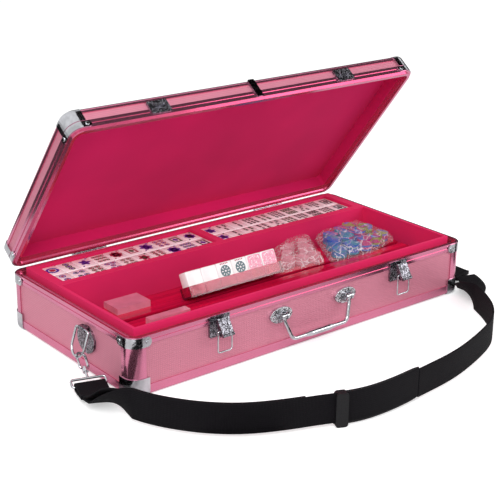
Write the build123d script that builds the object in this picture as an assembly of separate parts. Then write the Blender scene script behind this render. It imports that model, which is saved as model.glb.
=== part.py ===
from build123d import *
import math
import os

# A mahjong set in its aluminium carrying case, lid open.
# Millimetres, Z up, X to the right along the front, Y to the back.
# The origin is the middle of the underside of the case.

# ---------------------------------------------------------------- driving dimensions

# case
CASE_W = 530.0
CASE_D = 265.0
BASE_H = 72.5
LID_H = 28.0
LID_GAP = 0.3            # air between the two rims of the closed case
CORNER_R = 15.0
LID_OPEN = 52.5          # degrees from closed
SHEET = 3.0              # side, floor and top panels
SLOT_S = 1.4             # depth of the panels behind the outer face
FLANGE = 1.2             # walls of the extrusions
EDGE_R = 5.0             # rounded long edges of the case
EDGE_S = 8.0             # width of the edge extrusion seen from below
LEDGE_S = 13.0           # its ledge over the floor panel
BASE_EDGE_H = 13.0       # height of the base's edge extrusion
LID_EDGE_H = 7.5         # height of the lid's edge extrusion
RIM_H = 10.0             # height of the base's rim extrusion
LID_RIM_H = 9.9
BEAD_H = 4.0             # bead of a rim, above the panel
RECESS_H = 4.0           # shadow channel in a rim
RECESS_S = 0.8
LIP_S = 2.5              # outer lip beside the groove
GROOVE_S = 8.0           # far wall of the groove
GROOVE_DEPTH = 3.5
RIM_S = 9.5              # whole depth of a rim
INNER_LIP_DROP = 1.5     # the inner lip stands this much lower than the outer
TONGUE_GAP = 0.7         # tongue to each wall of the groove
TONGUE_H = 2.6
POST_W = 20.0            # legs of a corner post
CAP_W = 24.0             # legs of a bottom corner cap
CAP_H = 22.0
LID_CAP_W = 22.0
LID_CAP_H = 18.0
PLATE = 1.0              # pressed steel of caps and clips
CLIP_W = 27.0            # wings of a corner clip
CLIP_H = 12.0
CLIP_DROP = 1.0          # clip to the parting line
LID_CLIP_H = 8.0
RIVET_D = 4.6
RIVET_H = 0.9
RIVET_IN = 5.5           # rivet to the end of the wing

# lining
LINING_IN = 12.9         # inner face of the base lining
LINING_FLOOR = 3.2
LID_LINING_IN = 10.4
LID_LINING_TOP = 2.0

# hinges
HINGE_X = 150.0
HINGE_W = 50.0
KNUCKLE_R = 2.6
KNUCKLE_OUT = 2.8        # pin centre behind the case
KNUCKLES = 5
KNUCKLE_GAP = 0.3
HINGE_PIN_R = 1.2
PIN_CLEAR = 0.05
LEAF = 1.2
LEAF_H = 20.0
LID_LEAF_H = 17.0

# latches
LATCH_X = 144.0
LATCH_W = 29.0
LATCH_DROP = 0.5         # plate to the parting line
LATCH_H = 26.0
LATCH_PLATE = 1.2
PLATE_ROUND = 2.0        # corners of the latch and catch plates
EAR = 1.2
LEVER_W = 16.0
LEVER_PIN_DROP = 6.5     # lever's pin to the parting line
LEVER_PIN_OUT = 5.0
LEVER_PIN_R = 1.25
LEVER_L = 18.0
LEVER_T = 1.6
LEVER_LEAN = 32.0        # degrees out from the plate
BAIL_PIN_DOWN = 11.5     # bail pivot below the lever's pin, along the lever
BAIL_R = 1.0
BAIL_DROP = 26.0
BAIL_W = 20.0
CATCH_W = 28.0
CATCH_H = 18.0
CENTRE_CLIP_W = 10.0

# handle
HANDLE_X = 52.0
HANDLE_DOWN = 14.5       # pins below the rim
ROSE_W = 34.0
ROSE_H = 20.0
ROSE_T = 2.0
CHEEK_T = 2.4
CHEEK_H = 9.0
HANDLE_OUT = 7.0
HANDLE_PIN_R = 2.0
HANDLE_EYE_W = 5.0
HANDLE_EYE_R = 3.4
HANDLE_LEG_R = 2.4
HANDLE_GRIP_R = 3.6
GRIP_SHARE = 0.55        # share of the bar that the thicker grip takes
GRIP_FULL = 0.6          # share of the grip at its full thickness
HANDLE_DROP = 30.0
HANDLE_IN = 8.0          # the bar is this much shorter at each end than the pins
HANDLE_SWING = 14.0      # degrees out from vertical at rest

# strap fittings on the ends of the case
STRAP_IN = 91.5          # middle of the plate behind the front of the case
STRAP_PLATE_DOWN = 20.5  # below the rim
STRAP_PLATE_W = 36.0
STRAP_PLATE_H = 34.0
STRAP_PLATE_T = 1.5
RING_PIVOT_DOWN = 6.5    # below the rim
RING_OUT = 5.0
RING_R = 1.5
RING_W = 26.0
RING_H = 33.0
RING_TILT = 18.0
RING_CLIP_W = 14.0
RING_CLIP_T = 1.0
EYE_OUT_LEFT = 25.0      # swivel eyes beyond the ends of the case
EYE_OUT_RIGHT = 23.5
EYE_AHEAD = 45.0         # and ahead of the plates
EYE_Z = 8.5
HOOK_R = 1.6
HOOK_LOOP_W = 12.0
HOOK_LOOP_L = 22.0
HOOK_NOSE = 3.4          # middle of the nose beyond the ring's wire
GATE_R = 1.2
GATE_L = 9.0
GATE_GAP = 0.3
GATE_LOW = 4.0           # pivot of the gate above the ring's wire
SWIVEL_R = 3.4
SWIVEL_L = 6.0
SWIVEL_PIN_R = 1.4
EYE_R = 1.5
EYE_W = 40.0
EYE_L = 10.0

# strap
WEB_W = 35.0
WEB_T = 2.4
WEB_LIFT = 2.5
LOOP_L = 28.0
LOOP_R = 5.2
STRAP_CLEAR = 0.3
LOOP_REACH = 28.7        # end of a loop, rounded about its eye
LOOP_CREASE = 0.75       # share of the loop that stands open
LOOP_SEAM = 0.1
PAD_T = 5.0
PAD_W = 40.0
GLIDE_L = 14.0
GLIDE_WALL = 2.0

# small clearances and bends of the hardware
EAR_GAP = 0.3
LEVER_BACK = 2.2         # side walls of the lever behind its pin
LEVER_FRONT = 4.4        # face of the lever in front of its pin
LEVER_ROLL_R = 1.8
BAIL_BEND = 3.0
CATCH_DROP = 2.0
CATCH_HOOK_Z = 8.0
CATCH_HOOK_W = 16.0
CATCH_HOOK_OUT = 4.0
CATCH_HOOK_UP = 4.0
CENTRE_CLIP_IN = 0.6
HANDLE_GAP = 0.3
HANDLE_BEND = 8.0
RING_BEND = 3.0
RING_FLAT = 0.2          # straight left in the middle of the ring's bottom, each side
HOOK_BEND = 5.8
HOOK_HEEL_BEND = 5.0
HOOK_HEEL_R = 1.6
EYE_BEND = 3.0

# strap route, from the right hook round the front of the case to the left one,
# as places beyond that end of the case and ahead of its front
STRAP_RIGHT = [
    (31.1, -17.8), (33, 1.5), (24.5, 20), (9, 31.5), (-12, 35), (-28, 46.5), (-40, 65.5),
    (-54, 92.5), (-74, 121.5), (-106, 148.5), (-153, 167.5), (-211, 184.5),
]
STRAP_LEFT = [
    (-261, 191), (-205, 196), (-161, 192.5), (-124, 176), (-83, 161.5), (-44, 142.5), (-14, 116.5),
    (8, 87.5), (24, 57.5), (32, 27.5), (35, 3.5), (33.6, -18.4),
]
STRAP_PLY = 0.2          # between two plies
GLIDE_PLAY = 0.5

# trays and contents
TRAY_IN = 13.4
TRAY_UP = 5.2            # trays stand this much out of the base
TRAY_SEAM_GAP = 0.6
TRAY_WALL = 4.0
TRAY_FLOOR = 4.0
TRAY_LIFT = 0.3
TILE_L = 30.0
TILE_T = 16.0
TILE_PLAY = 0.3          # between the columns
ROW_PLAY = 0.1           # between the rows
TILE_COLS = 10
TILE_ROWS = 2
TILE_LAYERS = 4
GROUP_GAP = 10.8
TILE_TRAY_END = 12.7     # walls of the tile tray
TILE_TRAY_BACK = 6.65
TILE_TRAY_FRONT = 7.05
POCKET_CLEAR = 0.4
RACK_END_GAP = 12.6      # racks to the ends of their tray
RACK_FRONT_GAP = 13.1
RACK_GAP = 1.0
RACK_D = 52.0
RACK_H = 21.0
RACK_T = 3.0
RACK_LIP = 6.0
RACK_DECK = 46.0         # depth of the top plate
SPARES = 6
SPARE_LEAN = 28.0
SPARE_X = -52.0
SPARE_AHEAD = 27.0       # front foot of the row ahead of the middle of the rear rack
SPARE_UP = 9.5           # and above the racks
HOLDER_UP = 14.0
BAG_ROUND = 5.0
HOLDER_T = 2.0
BAR_H = 8.0
REAR_BAR = (22.0, 47.0, 29.5)    # from the end of the rack, length, depth
FRONT_BAR = (35.0, 56.0, 11.0)
REAR_BAR_IN = 0.0                # behind the back edge of the rack
FRONT_BAR_IN = 16.0
BAG_FILM = 0.8
# bags and what is in them: places along the racks and ahead of the tray's back wall
DICE_BAG = [(24, 80), (48, 30), (98, 4), (140, 8), (97, 88)]
DICE_BAG_H = 22.0
COIN_BAG = [(103, 92), (147, 8), (230, 4), (236, 78), (176, 96)]
COIN_BAG_H = 24.0
CONTENTS_L = 470.0       # length of rack that they are laid out on
BAG_BACK = 0.1           # tray's back wall to the line they are measured from
DIE = 12.0
DICE = [
    (52, 66, 12), (64, 48, 40), (70, 72, 5), (82, 30, 25), (86, 56, 60), (101, 46, 15),
    (110, 26, 50), (90, 74, 30),
]
COINS = [
    (130, 78, 4), (153, 78, 5), (176, 78, 6), (199, 73.5, 5), (220, 64, 4), (141, 55, 6),
    (164, 55, 7), (187, 53, 7), (211, 42, 6), (155, 33, 5), (178, 30, 6), (202, 20, 5),
]
COIN_SHARE = 10.5        # radius of a counter on racks of that length
COIN_T = 2.6

# ---------------------------------------------------------------- worked out

HALF_W = CASE_W / 2
HALF_D = CASE_D / 2
LID_Z = BASE_H + LID_GAP
HINGE_Y = HALF_D + KNUCKLE_OUT
HINGE_Z = BASE_H + LID_GAP / 2
SLOT_IN = SLOT_S + SHEET
WALL_S = SLOT_IN + SLOT_S
RIM_Z = BASE_H - RIM_H
LINING_TOP = RIM_Z + BEAD_H
FLOOR_TOP = SHEET + LINING_FLOOR
LATCH_TOP = BASE_H - LATCH_DROP
LEVER_PIN_Z = BASE_H - LEVER_PIN_DROP
HANDLE_Z = RIM_Z - HANDLE_DOWN
STRAP_Y = STRAP_IN - HALF_D
STRAP_PLATE_Z = RIM_Z - STRAP_PLATE_DOWN
RING_PIVOT_Z = RIM_Z - RING_PIVOT_DOWN
EYE_LEFT = (-HALF_W - EYE_OUT_LEFT, STRAP_Y - EYE_AHEAD, EYE_Z)
EYE_RIGHT = (HALF_W + EYE_OUT_RIGHT, STRAP_Y - EYE_AHEAD, EYE_Z)
STRAP_ROUTE = [(HALF_W + out, -HALF_D - ahead) for out, ahead in STRAP_RIGHT] + [
    (-HALF_W - out, -HALF_D - ahead) for out, ahead in STRAP_LEFT
]
PAD_RUN = len(STRAP_RIGHT) - 1       # run of the route that the pad starts on
GLIDE_RUN = PAD_RUN + 3              # run that the tri-glide sits on
PAD_STRETCH = (PAD_RUN, 0.5, PAD_RUN + 2, 0.8)
RETURN_STRETCH = (GLIDE_RUN, 0.4, len(STRAP_ROUTE) - 2, 0.96)
TRAY_TOP = BASE_H + TRAY_UP
GROUP_W = (CASE_W - 2 * (TRAY_IN + TILE_TRAY_END) - GROUP_GAP) / 2
TILE_PITCH = (GROUP_W - 2 * POCKET_CLEAR + TILE_PLAY) / TILE_COLS
TILE_W = TILE_PITCH - TILE_PLAY
TILE_ROW = TILE_L + ROW_PLAY
GROUP_D = TILE_ROWS * TILE_ROW - ROW_PLAY + 2 * POCKET_CLEAR
GROUP_Y = HALF_D - TRAY_IN - TILE_TRAY_BACK - GROUP_D / 2
TRAY_SEAM = GROUP_Y - GROUP_D / 2 - TILE_TRAY_FRONT - TRAY_SEAM_GAP / 2
TRAY_BACK_Y = TRAY_SEAM - TRAY_SEAM_GAP / 2 - TRAY_WALL
RACK_L = CASE_W - 2 * (TRAY_IN + TRAY_WALL + RACK_END_GAP)
RACK_FRONT_Y = TRAY_IN + TRAY_WALL + RACK_FRONT_GAP + RACK_D / 2 - HALF_D
RACK_REAR_Y = RACK_FRONT_Y + RACK_D + RACK_GAP
RACK_Z = FLOOR_TOP + TRAY_LIFT + TRAY_FLOOR
RACK_TOP = RACK_Z + 2 * RACK_H
SPREAD = RACK_L / CONTENTS_L
COIN_R = COIN_SHARE * SPREAD
SIDE_FRAME = {
    "front": ((0, -HALF_D), (0, 1), (1, 0), CASE_W),
    "right": ((HALF_W, 0), (-1, 0), (0, 1), CASE_D),
    "back": ((0, HALF_D), (0, -1), (-1, 0), CASE_W),
    "left": ((-HALF_W, 0), (1, 0), (0, -1), CASE_D),
}
SIDES = list(SIDE_FRAME)
CORNERS = [(sx, sy) for sx in (-1, 1) for sy in (-1, 1)]

os.makedirs("parts", exist_ok=True)


# ---------------------------------------------------------------- helpers

def side_plane(side, height=0.0):
    """Section plane of one side: x runs into the case, y runs up, the normal runs along the side."""
    (cx, cy), (nx, ny), (tx, ty), _ = SIDE_FRAME[side]
    return Plane(origin=(cx, cy, height), x_dir=(nx, ny, 0), z_dir=(tx, ty, 0))


def rail(side, section, length, height=0.0):
    """Carry a section along the middle of one side of the case."""
    return extrude(side_plane(side, height) * section, amount=length / 2, both=True)


def corner_turn(side, section, height=0.0):
    """Turn a section round the corner at the end of one side."""
    (cx, cy), (nx, ny), (tx, ty), length = SIDE_FRAME[side]
    run = length / 2 - CORNER_R
    plane = Plane(
        origin=(cx + tx * run, cy + ty * run, height), x_dir=(nx, ny, 0), z_dir=(tx, ty, 0)
    )
    axis = Axis((cx + tx * run + nx * CORNER_R, cy + ty * run + ny * CORNER_R, 0), (0, 0, 1))
    return revolve(plane * section, axis=axis, revolution_arc=90)


def ring(section, height=0.0):
    """Carry a section once round the case."""
    straights = [rail(side, section, SIDE_FRAME[side][3] - 2 * CORNER_R, height) for side in SIDES]
    turns = [corner_turn(side, section, height) for side in SIDES]
    return straights[0].fuse(*straights[1:], *turns)


def outline(*points):
    """A closed face through the points."""
    return make_face(Polyline(*points, close=True))


def block(x0, x1, y0, y1, z0, z1):
    """A box between two corners."""
    return Pos((x0 + x1) / 2, (y0 + y1) / 2, (z0 + z1) / 2) * Box(x1 - x0, y1 - y0, z1 - z0)


def slab(inset, z0, z1):
    """A plate of the case's outline, set in by some distance."""
    radius = CORNER_R - inset
    face = Rectangle(CASE_W - 2 * inset, CASE_D - 2 * inset)
    if radius > 0.1:
        face = RectangleRounded(CASE_W - 2 * inset, CASE_D - 2 * inset, radius)
    return Pos(0, 0, z0) * extrude(face, amount=z1 - z0)


def at_corners(width, z0, z1, out=3.0):
    """Four square blocks over the corners of the case."""
    blocks = []
    for sx, sy in CORNERS:
        x_far, x_near = sx * (HALF_W + out), sx * (HALF_W - width)
        y_far, y_near = sy * (HALF_D + out), sy * (HALF_D - width)
        blocks.append(
            block(min(x_far, x_near), max(x_far, x_near), min(y_far, y_near), max(y_far, y_near), z0, z1)
        )
    return blocks


def shell_band(inner, outer, z0, z1):
    """The space between two outlines of the case, from inset outer to inset inner."""
    return slab(outer, z0, z1) - slab(inner, z0, z1)


def mirrored(solid):
    """The same piece on the other end of the case."""
    return mirror(solid, about=Plane.YZ)


def opened(solid):
    """Turn a piece of the closed lid to where the open lid stands."""
    return solid.rotate(Axis((0, HINGE_Y, HINGE_Z), (1, 0, 0)), -LID_OPEN)


def save(name, *pieces):
    """Write one node as a group of separate solids."""
    solids = []
    for piece in pieces:
        solids.extend(piece.solids())
    export_step(Compound(children=solids, label=name), f"parts/{name}.step")


def save_lid(name, *pieces):
    save(name, *[opened(piece) for piece in pieces])


def rod(start, end, radius):
    """A round bar between two points."""
    start, end = Vector(*start), Vector(*end)
    along = end - start
    plane = Plane(origin=start, z_dir=along)
    return extrude(plane * Circle(radius), amount=along.length)


def bent_wire(points, radius, bend, closed=False):
    """A round wire through points, with its corners bent to a radius."""
    path = FilletPolyline(*points, radius=bend, close=closed)
    start = path @ 0
    section = Plane(origin=start, z_dir=path % 0) * Circle(radius)
    return sweep(section, path=path)


# ---------------------------------------------------------------- case frame

def rim_section():
    """Base rim: bead, shadow channel and lip outside, groove on top, slot for the panel below."""
    bead, recess, top = BEAD_H, BEAD_H + RECESS_H, RIM_H
    groove = RIM_H - GROOVE_DEPTH
    slot = SHEET
    return outline(
        (0, 0), (0, bead), (RECESS_S, bead), (RECESS_S, recess), (0, recess), (0, top),
        (LIP_S, top), (LIP_S, groove), (GROOVE_S, groove), (GROOVE_S, top - INNER_LIP_DROP),
        (RIM_S, top - INNER_LIP_DROP), (RIM_S, bead), (WALL_S, bead), (WALL_S, 0),
        (SLOT_IN, 0), (SLOT_IN, slot), (SLOT_S, slot), (SLOT_S, 0),
    )


def lid_rim_section():
    """Lid rim: the same outside upside down, with the tongue that enters the groove."""
    top = LID_RIM_H
    lip = top - BEAD_H - RECESS_H
    bead = top - BEAD_H
    slot = top - SHEET
    return outline(
        (0, 0), (0, lip), (RECESS_S, lip), (RECESS_S, bead), (0, bead), (0, top),
        (SLOT_S, top), (SLOT_S, slot), (SLOT_IN, slot), (SLOT_IN, top), (WALL_S, top),
        (WALL_S, bead), (RIM_S, bead), (RIM_S, 0),
        (GROOVE_S - TONGUE_GAP, 0), (GROOVE_S - TONGUE_GAP, -TONGUE_H),
        (LIP_S + TONGUE_GAP, -TONGUE_H), (LIP_S + TONGUE_GAP, 0),
    )


def edge_section(height):
    """Edge extrusion: rounded outside, slot for the side panel, ledge over the floor or top panel."""
    ledge = SHEET + FLANGE
    arc = Line((0, EDGE_R), (0, height))
    side = Polyline(
        (0, height), (SLOT_S, height), (SLOT_S, ledge), (SLOT_IN, ledge), (SLOT_IN, height),
        (WALL_S, height), (WALL_S, ledge), (LEDGE_S, ledge), (LEDGE_S, SHEET),
        (EDGE_S, SHEET), (EDGE_S, 0), (EDGE_R, 0),
    )
    bend = RadiusArc((EDGE_R, 0), (0, EDGE_R), EDGE_R)
    face = make_face([arc, side, bend])
    return face


def side_panel(side, z0, z1):
    """A flat side panel, its ends in the slots of the corner posts."""
    length = SIDE_FRAME[side][3] - 2 * CORNER_R
    section = Pos(SLOT_S + SHEET / 2, (z0 + z1) / 2) * Rectangle(SHEET, z1 - z0)
    return rail(side, section, length)


def corner_posts(z0, z1):
    """Four rounded posts with slots for the ends of the panels."""
    band = shell_band(WALL_S, 0, z0, z1)
    slots = [side_panel(side, z0 - 1, z1 + 1) for side in SIDES]
    return [(band & corner) - slots for corner in at_corners(POST_W, z0, z1)]


def edge_rails(section, cap_width, height=0.0):
    """Four straight lengths of edge extrusion between the corner caps."""
    return [rail(side, section, SIDE_FRAME[side][3] - 2 * cap_width, height) for side in SIDES]


def corner_caps(width, height, turn):
    """Four pressed corner caps, rounded below; turn puts the same shape on the lid."""
    body = slab(-PLATE, 0, height)
    body = fillet(body.edges().group_by(Axis.Z)[0], EDGE_R)
    body = body - shell_pocket(height)
    return [turn(body & corner) for corner in at_corners(width, 0, height)]


def shell_pocket(height):
    """Room inside a corner cap for the post and the panel."""
    pocket = slab(0, SHEET, height + 1)
    return pocket + slab(EDGE_S, -1, SHEET)


def corner_clips(z0, height):
    """Four clips with two wings that bind the rim at the corners."""
    band = shell_band(0, -PLATE, z0, z0 + height)
    middle = z0 + height / 2
    reach = CLIP_W + 2 * PLATE
    wing = RectangleRounded(2 * reach, height, height / 2 - 0.5)
    clips = []
    for sx, sy in CORNERS:
        front = Plane(origin=(sx * (HALF_W + 2 * PLATE), sy * HALF_D, middle), x_dir=(1, 0, 0), z_dir=(0, 1, 0))
        end = Plane(origin=(sx * HALF_W, sy * (HALF_D + 2 * PLATE), middle), x_dir=(0, 1, 0), z_dir=(1, 0, 0))
        shape = extrude(front * wing, amount=CORNER_R, both=True)
        shape += extrude(end * wing, amount=CORNER_R, both=True)
        clips.append(band & shape)
    return clips


def clip_rivets(height):
    """One domed rivet on each wing of the clips."""
    rivets = []
    for sx, sy in CORNERS:
        spots = [
            ((sx * (HALF_W - CLIP_W + RIVET_IN), sy * (HALF_D + PLATE), height), (0, sy, 0)),
            ((sx * (HALF_W + PLATE), sy * (HALF_D - CLIP_W + RIVET_IN), height), (sx, 0, 0)),
        ]
        for spot, out in spots:
            rivets.append(rivet(spot, out))
    return rivets


def rivet(spot, out, diameter=RIVET_D, height=RIVET_H):
    """A low domed rivet head standing on a face."""
    plane = Plane(origin=spot, z_dir=out)
    head = extrude(plane * Circle(diameter / 2), amount=height)
    rim = head.edges().sort_by(Axis(spot, out))[-1]
    return fillet(rim, height * 0.6)


def lining(inner, z0, z1, ledge_z, wall_top):
    """Padded lining: walls behind the panels and a pad over the floor."""
    walls = shell_band(inner, WALL_S, ledge_z, wall_top)
    pad = slab(WALL_S, ledge_z, z1) + slab(LEDGE_S, z0, ledge_z)
    return walls + pad


def make_case():
    base_edge = edge_section(BASE_EDGE_H)
    save("base_bottom_frame", *edge_rails(base_edge, CAP_W))
    save("base_bottom_panel", slab(EDGE_S, 0, SHEET))
    save("base_rim_frame", ring(rim_section(), RIM_Z))
    save("base_side_panels", *[side_panel(side, SHEET + FLANGE, RIM_Z + SHEET) for side in SIDES])
    save("base_corner_posts", *corner_posts(SHEET + FLANGE, RIM_Z))
    save("base_corner_caps", *corner_caps(CAP_W, CAP_H, lambda cap: cap))
    clip_z = BASE_H - CLIP_H - CLIP_DROP
    save("base_corner_clips", *corner_clips(clip_z, CLIP_H))
    save("base_rivets", *clip_rivets(clip_z + CLIP_H / 2))
    save("base_lining", lining(LINING_IN, SHEET, FLOOR_TOP, SHEET + FLANGE, LINING_TOP))


def lid_up(solid):
    """Turn a piece modelled like the base upside down, onto the closed lid."""
    return Pos(0, 0, LID_Z + LID_H) * mirror(solid, about=Plane.XY)


def make_lid():
    lid_edge = edge_section(LID_EDGE_H)
    save_lid("lid_top_frame", *[lid_up(piece) for piece in edge_rails(lid_edge, LID_CAP_W)])
    save_lid("lid_top_panel", lid_up(slab(EDGE_S, 0, SHEET)))
    save_lid("lid_rim_frame", ring(lid_rim_section(), LID_Z))
    depth = LID_H - LID_RIM_H + SHEET
    save_lid("lid_side_panels", *[lid_up(side_panel(side, SHEET + FLANGE, depth)) for side in SIDES])
    posts = corner_posts(SHEET + FLANGE, LID_H - LID_RIM_H)
    save_lid("lid_corner_posts", *[lid_up(post) for post in posts])
    save_lid("lid_corner_caps", *corner_caps(LID_CAP_W, LID_CAP_H, lid_up))
    lid_clip_z = LID_Z + CLIP_DROP
    save_lid("lid_corner_clips", *corner_clips(lid_clip_z, LID_CLIP_H))
    save_lid("lid_rivets", *clip_rivets(lid_clip_z + LID_CLIP_H / 2))
    lid_pad = lining(
        LID_LINING_IN, SHEET, SHEET + FLANGE + LID_LINING_TOP, SHEET + FLANGE, LID_H - LID_RIM_H + BEAD_H
    )
    save_lid("lid_lining", lid_up(lid_pad))


# ---------------------------------------------------------------- hinges, latches, handle

def face_plane(side, along, height, inset=0.0):
    """Plane on the outside of a side: x runs along it, y runs up, the normal points out."""
    (cx, cy), (nx, ny), (tx, ty), _ = SIDE_FRAME[side]
    origin = (cx + nx * inset + tx * along, cy + ny * inset + ty * along, height)
    return Plane(origin=origin, x_dir=(tx, ty, 0), z_dir=(-nx, -ny, 0))


def seated_plate(side, along, height, face, thickness, rim_from, rim_to):
    """A plate on a side: it fills down to the panel, except where the rim stands behind it."""
    full = extrude(face_plane(side, along, height, SLOT_S) * face, amount=thickness + SLOT_S)
    room = side_frame_block(side, rim_from, rim_to)
    return full - room


def side_frame_block(side, z0, z1):
    """The room that a rim or an edge extrusion takes behind a plate."""
    section = Pos(SLOT_S, (z0 + z1) / 2) * Rectangle(2 * SLOT_S, z1 - z0)
    return rail(side, section, SIDE_FRAME[side][3])


def knuckle_spans(x, first):
    """Lengths of every second knuckle of a hinge."""
    pitch = HINGE_W / KNUCKLES
    start = x - HINGE_W / 2
    return [
        (start + i * pitch + KNUCKLE_GAP / 2, start + (i + 1) * pitch - KNUCKLE_GAP / 2)
        for i in range(first, KNUCKLES, 2)
    ]


def hinge_leaf(x, own, others, height, direction, rim_from, rim_to):
    """A hinge leaf with its knuckles; direction is -1 below the pin and 1 above it."""
    face = Rectangle(HINGE_W, height)
    leaf = seated_plate("back", -x, HINGE_Z + direction * height / 2, face, LEAF, rim_from, rim_to)
    for x0, x1 in others:
        notch = KNUCKLE_R + KNUCKLE_GAP
        leaf -= block(
            x0 - KNUCKLE_GAP, x1 + KNUCKLE_GAP, HALF_D - SLOT_S - 1, HALF_D + LEAF + 1,
            HINGE_Z - notch, HINGE_Z + notch,
        )
    for x0, x1 in own:
        leaf += rod((x0, HINGE_Y, HINGE_Z), (x1, HINGE_Y, HINGE_Z), KNUCKLE_R)
    bore = rod((x - HINGE_W, HINGE_Y, HINGE_Z), (x + HINGE_W, HINGE_Y, HINGE_Z), HINGE_PIN_R + PIN_CLEAR)
    return leaf - bore


def make_hinges():
    base_leaves, lid_leaves, pins = [], [], []
    for x in (-HINGE_X, HINGE_X):
        base_spans, lid_spans = knuckle_spans(x, 0), knuckle_spans(x, 1)
        base_leaves.append(hinge_leaf(x, base_spans, lid_spans, LEAF_H, -1, RIM_Z, BASE_H + 1))
        lid_leaves.append(
            hinge_leaf(x, lid_spans, base_spans, LID_LEAF_H, 1, LID_Z - 1, LID_Z + LID_RIM_H)
        )
        ends = x - HINGE_W / 2, x + HINGE_W / 2
        pins.append(rod((ends[0], HINGE_Y, HINGE_Z), (ends[1], HINGE_Y, HINGE_Z), HINGE_PIN_R))
    save("hinge_base_leaves", *base_leaves)
    save_lid("hinge_lid_leaves", *lid_leaves)
    save("hinge_pins", *pins)


def lever_frame(x):
    """Frame of a latch lever: x along the pin, y out from the lever, z down along it."""
    lean = math.radians(LEVER_LEAN)
    down = (0, -math.sin(lean), -math.cos(lean))
    return Plane(origin=(x, -HALF_D - LEVER_PIN_OUT, LEVER_PIN_Z), x_dir=(1, 0, 0), z_dir=down)


def latch_plate(x):
    """Plate with two ears and the lever's pin."""
    middle = LATCH_TOP - LATCH_H / 2
    plate = seated_plate(
        "front", x, middle, RectangleRounded(LATCH_W, LATCH_H, PLATE_ROUND), LATCH_PLATE, RIM_Z, BASE_H + 1
    )
    ear_out = LEVER_W / 2 - LEVER_T - EAR_GAP
    for sign in (-1, 1):
        section = Circle(LEVER_PIN_R + EAR) + Pos(-LEVER_PIN_OUT / 2, 0) * Rectangle(
            LEVER_PIN_OUT, 2 * (LEVER_PIN_R + EAR)
        )
        start = x + sign * ear_out - (EAR if sign > 0 else 0)
        plane = Plane(
            origin=(start, -HALF_D - LEVER_PIN_OUT, LEVER_PIN_Z), x_dir=(0, -1, 0), z_dir=(1, 0, 0)
        )
        ear = extrude(plane * section, amount=EAR)
        plate += ear - block(x - LATCH_W, x + LATCH_W, -HALF_D, HALF_D, 0, BASE_H)
    reach = LEVER_W / 2
    pin_y = -HALF_D - LEVER_PIN_OUT
    return plate + rod((x - reach, pin_y, LEVER_PIN_Z), (x + reach, pin_y, LEVER_PIN_Z), LEVER_PIN_R)


def latch_lever(x):
    """Channel lever with a rolled finger end."""
    frame = lever_frame(x)
    back, front = -LEVER_BACK, LEVER_FRONT
    head = LEVER_PIN_R + EAR
    channel = Pos(0, (back + front) / 2, (LEVER_L - head) / 2) * Box(LEVER_W, front - back, LEVER_L + head)
    inside = Pos(0, (back + front) / 2 - LEVER_T, (LEVER_L - head) / 2) * Box(
        LEVER_W - 2 * LEVER_T, front - back, LEVER_L + head + 2
    )
    roll = Pos(0, front - LEVER_T / 2, LEVER_L) * Rotation(0, 90, 0) * Cylinder(LEVER_ROLL_R, LEVER_W)
    lever = channel - inside + roll
    lever -= Rotation(0, 90, 0) * Cylinder(LEVER_PIN_R + PIN_CLEAR, 2 * LEVER_W)
    lever -= Pos(0, 0, BAIL_PIN_DOWN) * Rotation(0, 90, 0) * Cylinder(BAIL_R + PIN_CLEAR, 2 * LEVER_W)
    return frame * lever


def latch_bail(x):
    """Wire bail: its ends turn inwards into the lever, the loop hangs straight down."""
    lean = math.radians(LEVER_LEAN)
    y = -HALF_D - LEVER_PIN_OUT - BAIL_PIN_DOWN * math.sin(lean)
    z = LEVER_PIN_Z - BAIL_PIN_DOWN * math.cos(lean)
    half = BAIL_W / 2
    inner = LEVER_W / 2 - LEVER_T
    points = [
        (x - inner, y, z), (x - half, y, z), (x - half, y, z - BAIL_DROP),
        (x + half, y, z - BAIL_DROP), (x + half, y, z), (x + inner, y, z),
    ]
    return bent_wire(points, BAIL_R, [BAIL_R * 1.2, BAIL_BEND, BAIL_BEND, BAIL_R * 1.2])


def lid_catch(x):
    """Catch plate on the lid with an upturned hook for the bail."""
    bottom = LID_Z + CATCH_DROP
    face = RectangleRounded(CATCH_W, CATCH_H, PLATE_ROUND)
    middle = bottom + CATCH_H / 2
    plate = seated_plate("front", x, middle, face, LATCH_PLATE, LID_Z - 1, LID_Z + LID_RIM_H)
    front = -HALF_D - LATCH_PLATE
    shelf_z = bottom + CATCH_HOOK_Z
    half = CATCH_HOOK_W / 2
    hook = block(x - half, x + half, front - CATCH_HOOK_OUT, front, shelf_z, shelf_z + LEVER_T)
    lip = block(
        x - half, x + half, front - CATCH_HOOK_OUT, front - CATCH_HOOK_OUT + LEVER_T,
        shelf_z, shelf_z + CATCH_HOOK_UP,
    )
    return plate + hook + lip


def make_latches():
    for label, x in (("left", -LATCH_X), ("right", LATCH_X)):
        save(f"latch_{label}_lever", latch_lever(x))
        save(f"latch_{label}_bail", latch_bail(x))
    save("latch_plates", latch_plate(-LATCH_X), latch_plate(LATCH_X))
    save_lid("lid_catches", lid_catch(-LATCH_X), lid_catch(LATCH_X))
    height = LID_H - 2 * CENTRE_CLIP_IN
    face = RectangleRounded(CENTRE_CLIP_W, height, PLATE_ROUND)
    clip = seated_plate("front", 0, LID_Z + LID_H / 2, face, LATCH_PLATE, LID_Z - 1, LID_Z + LID_RIM_H)
    clip -= side_frame_block("front", LID_Z + LID_H - LID_EDGE_H, LID_Z + LID_H)
    save_lid("lid_centre_clip", clip)


def handle_frame():
    """Frame of the handle: x along the pins, z down along its legs."""
    swing = math.radians(HANDLE_SWING)
    down = (0, -math.sin(swing), -math.cos(swing))
    return Plane(origin=(0, -HALF_D - HANDLE_OUT, HANDLE_Z), x_dir=(1, 0, 0), z_dir=down)


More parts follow.
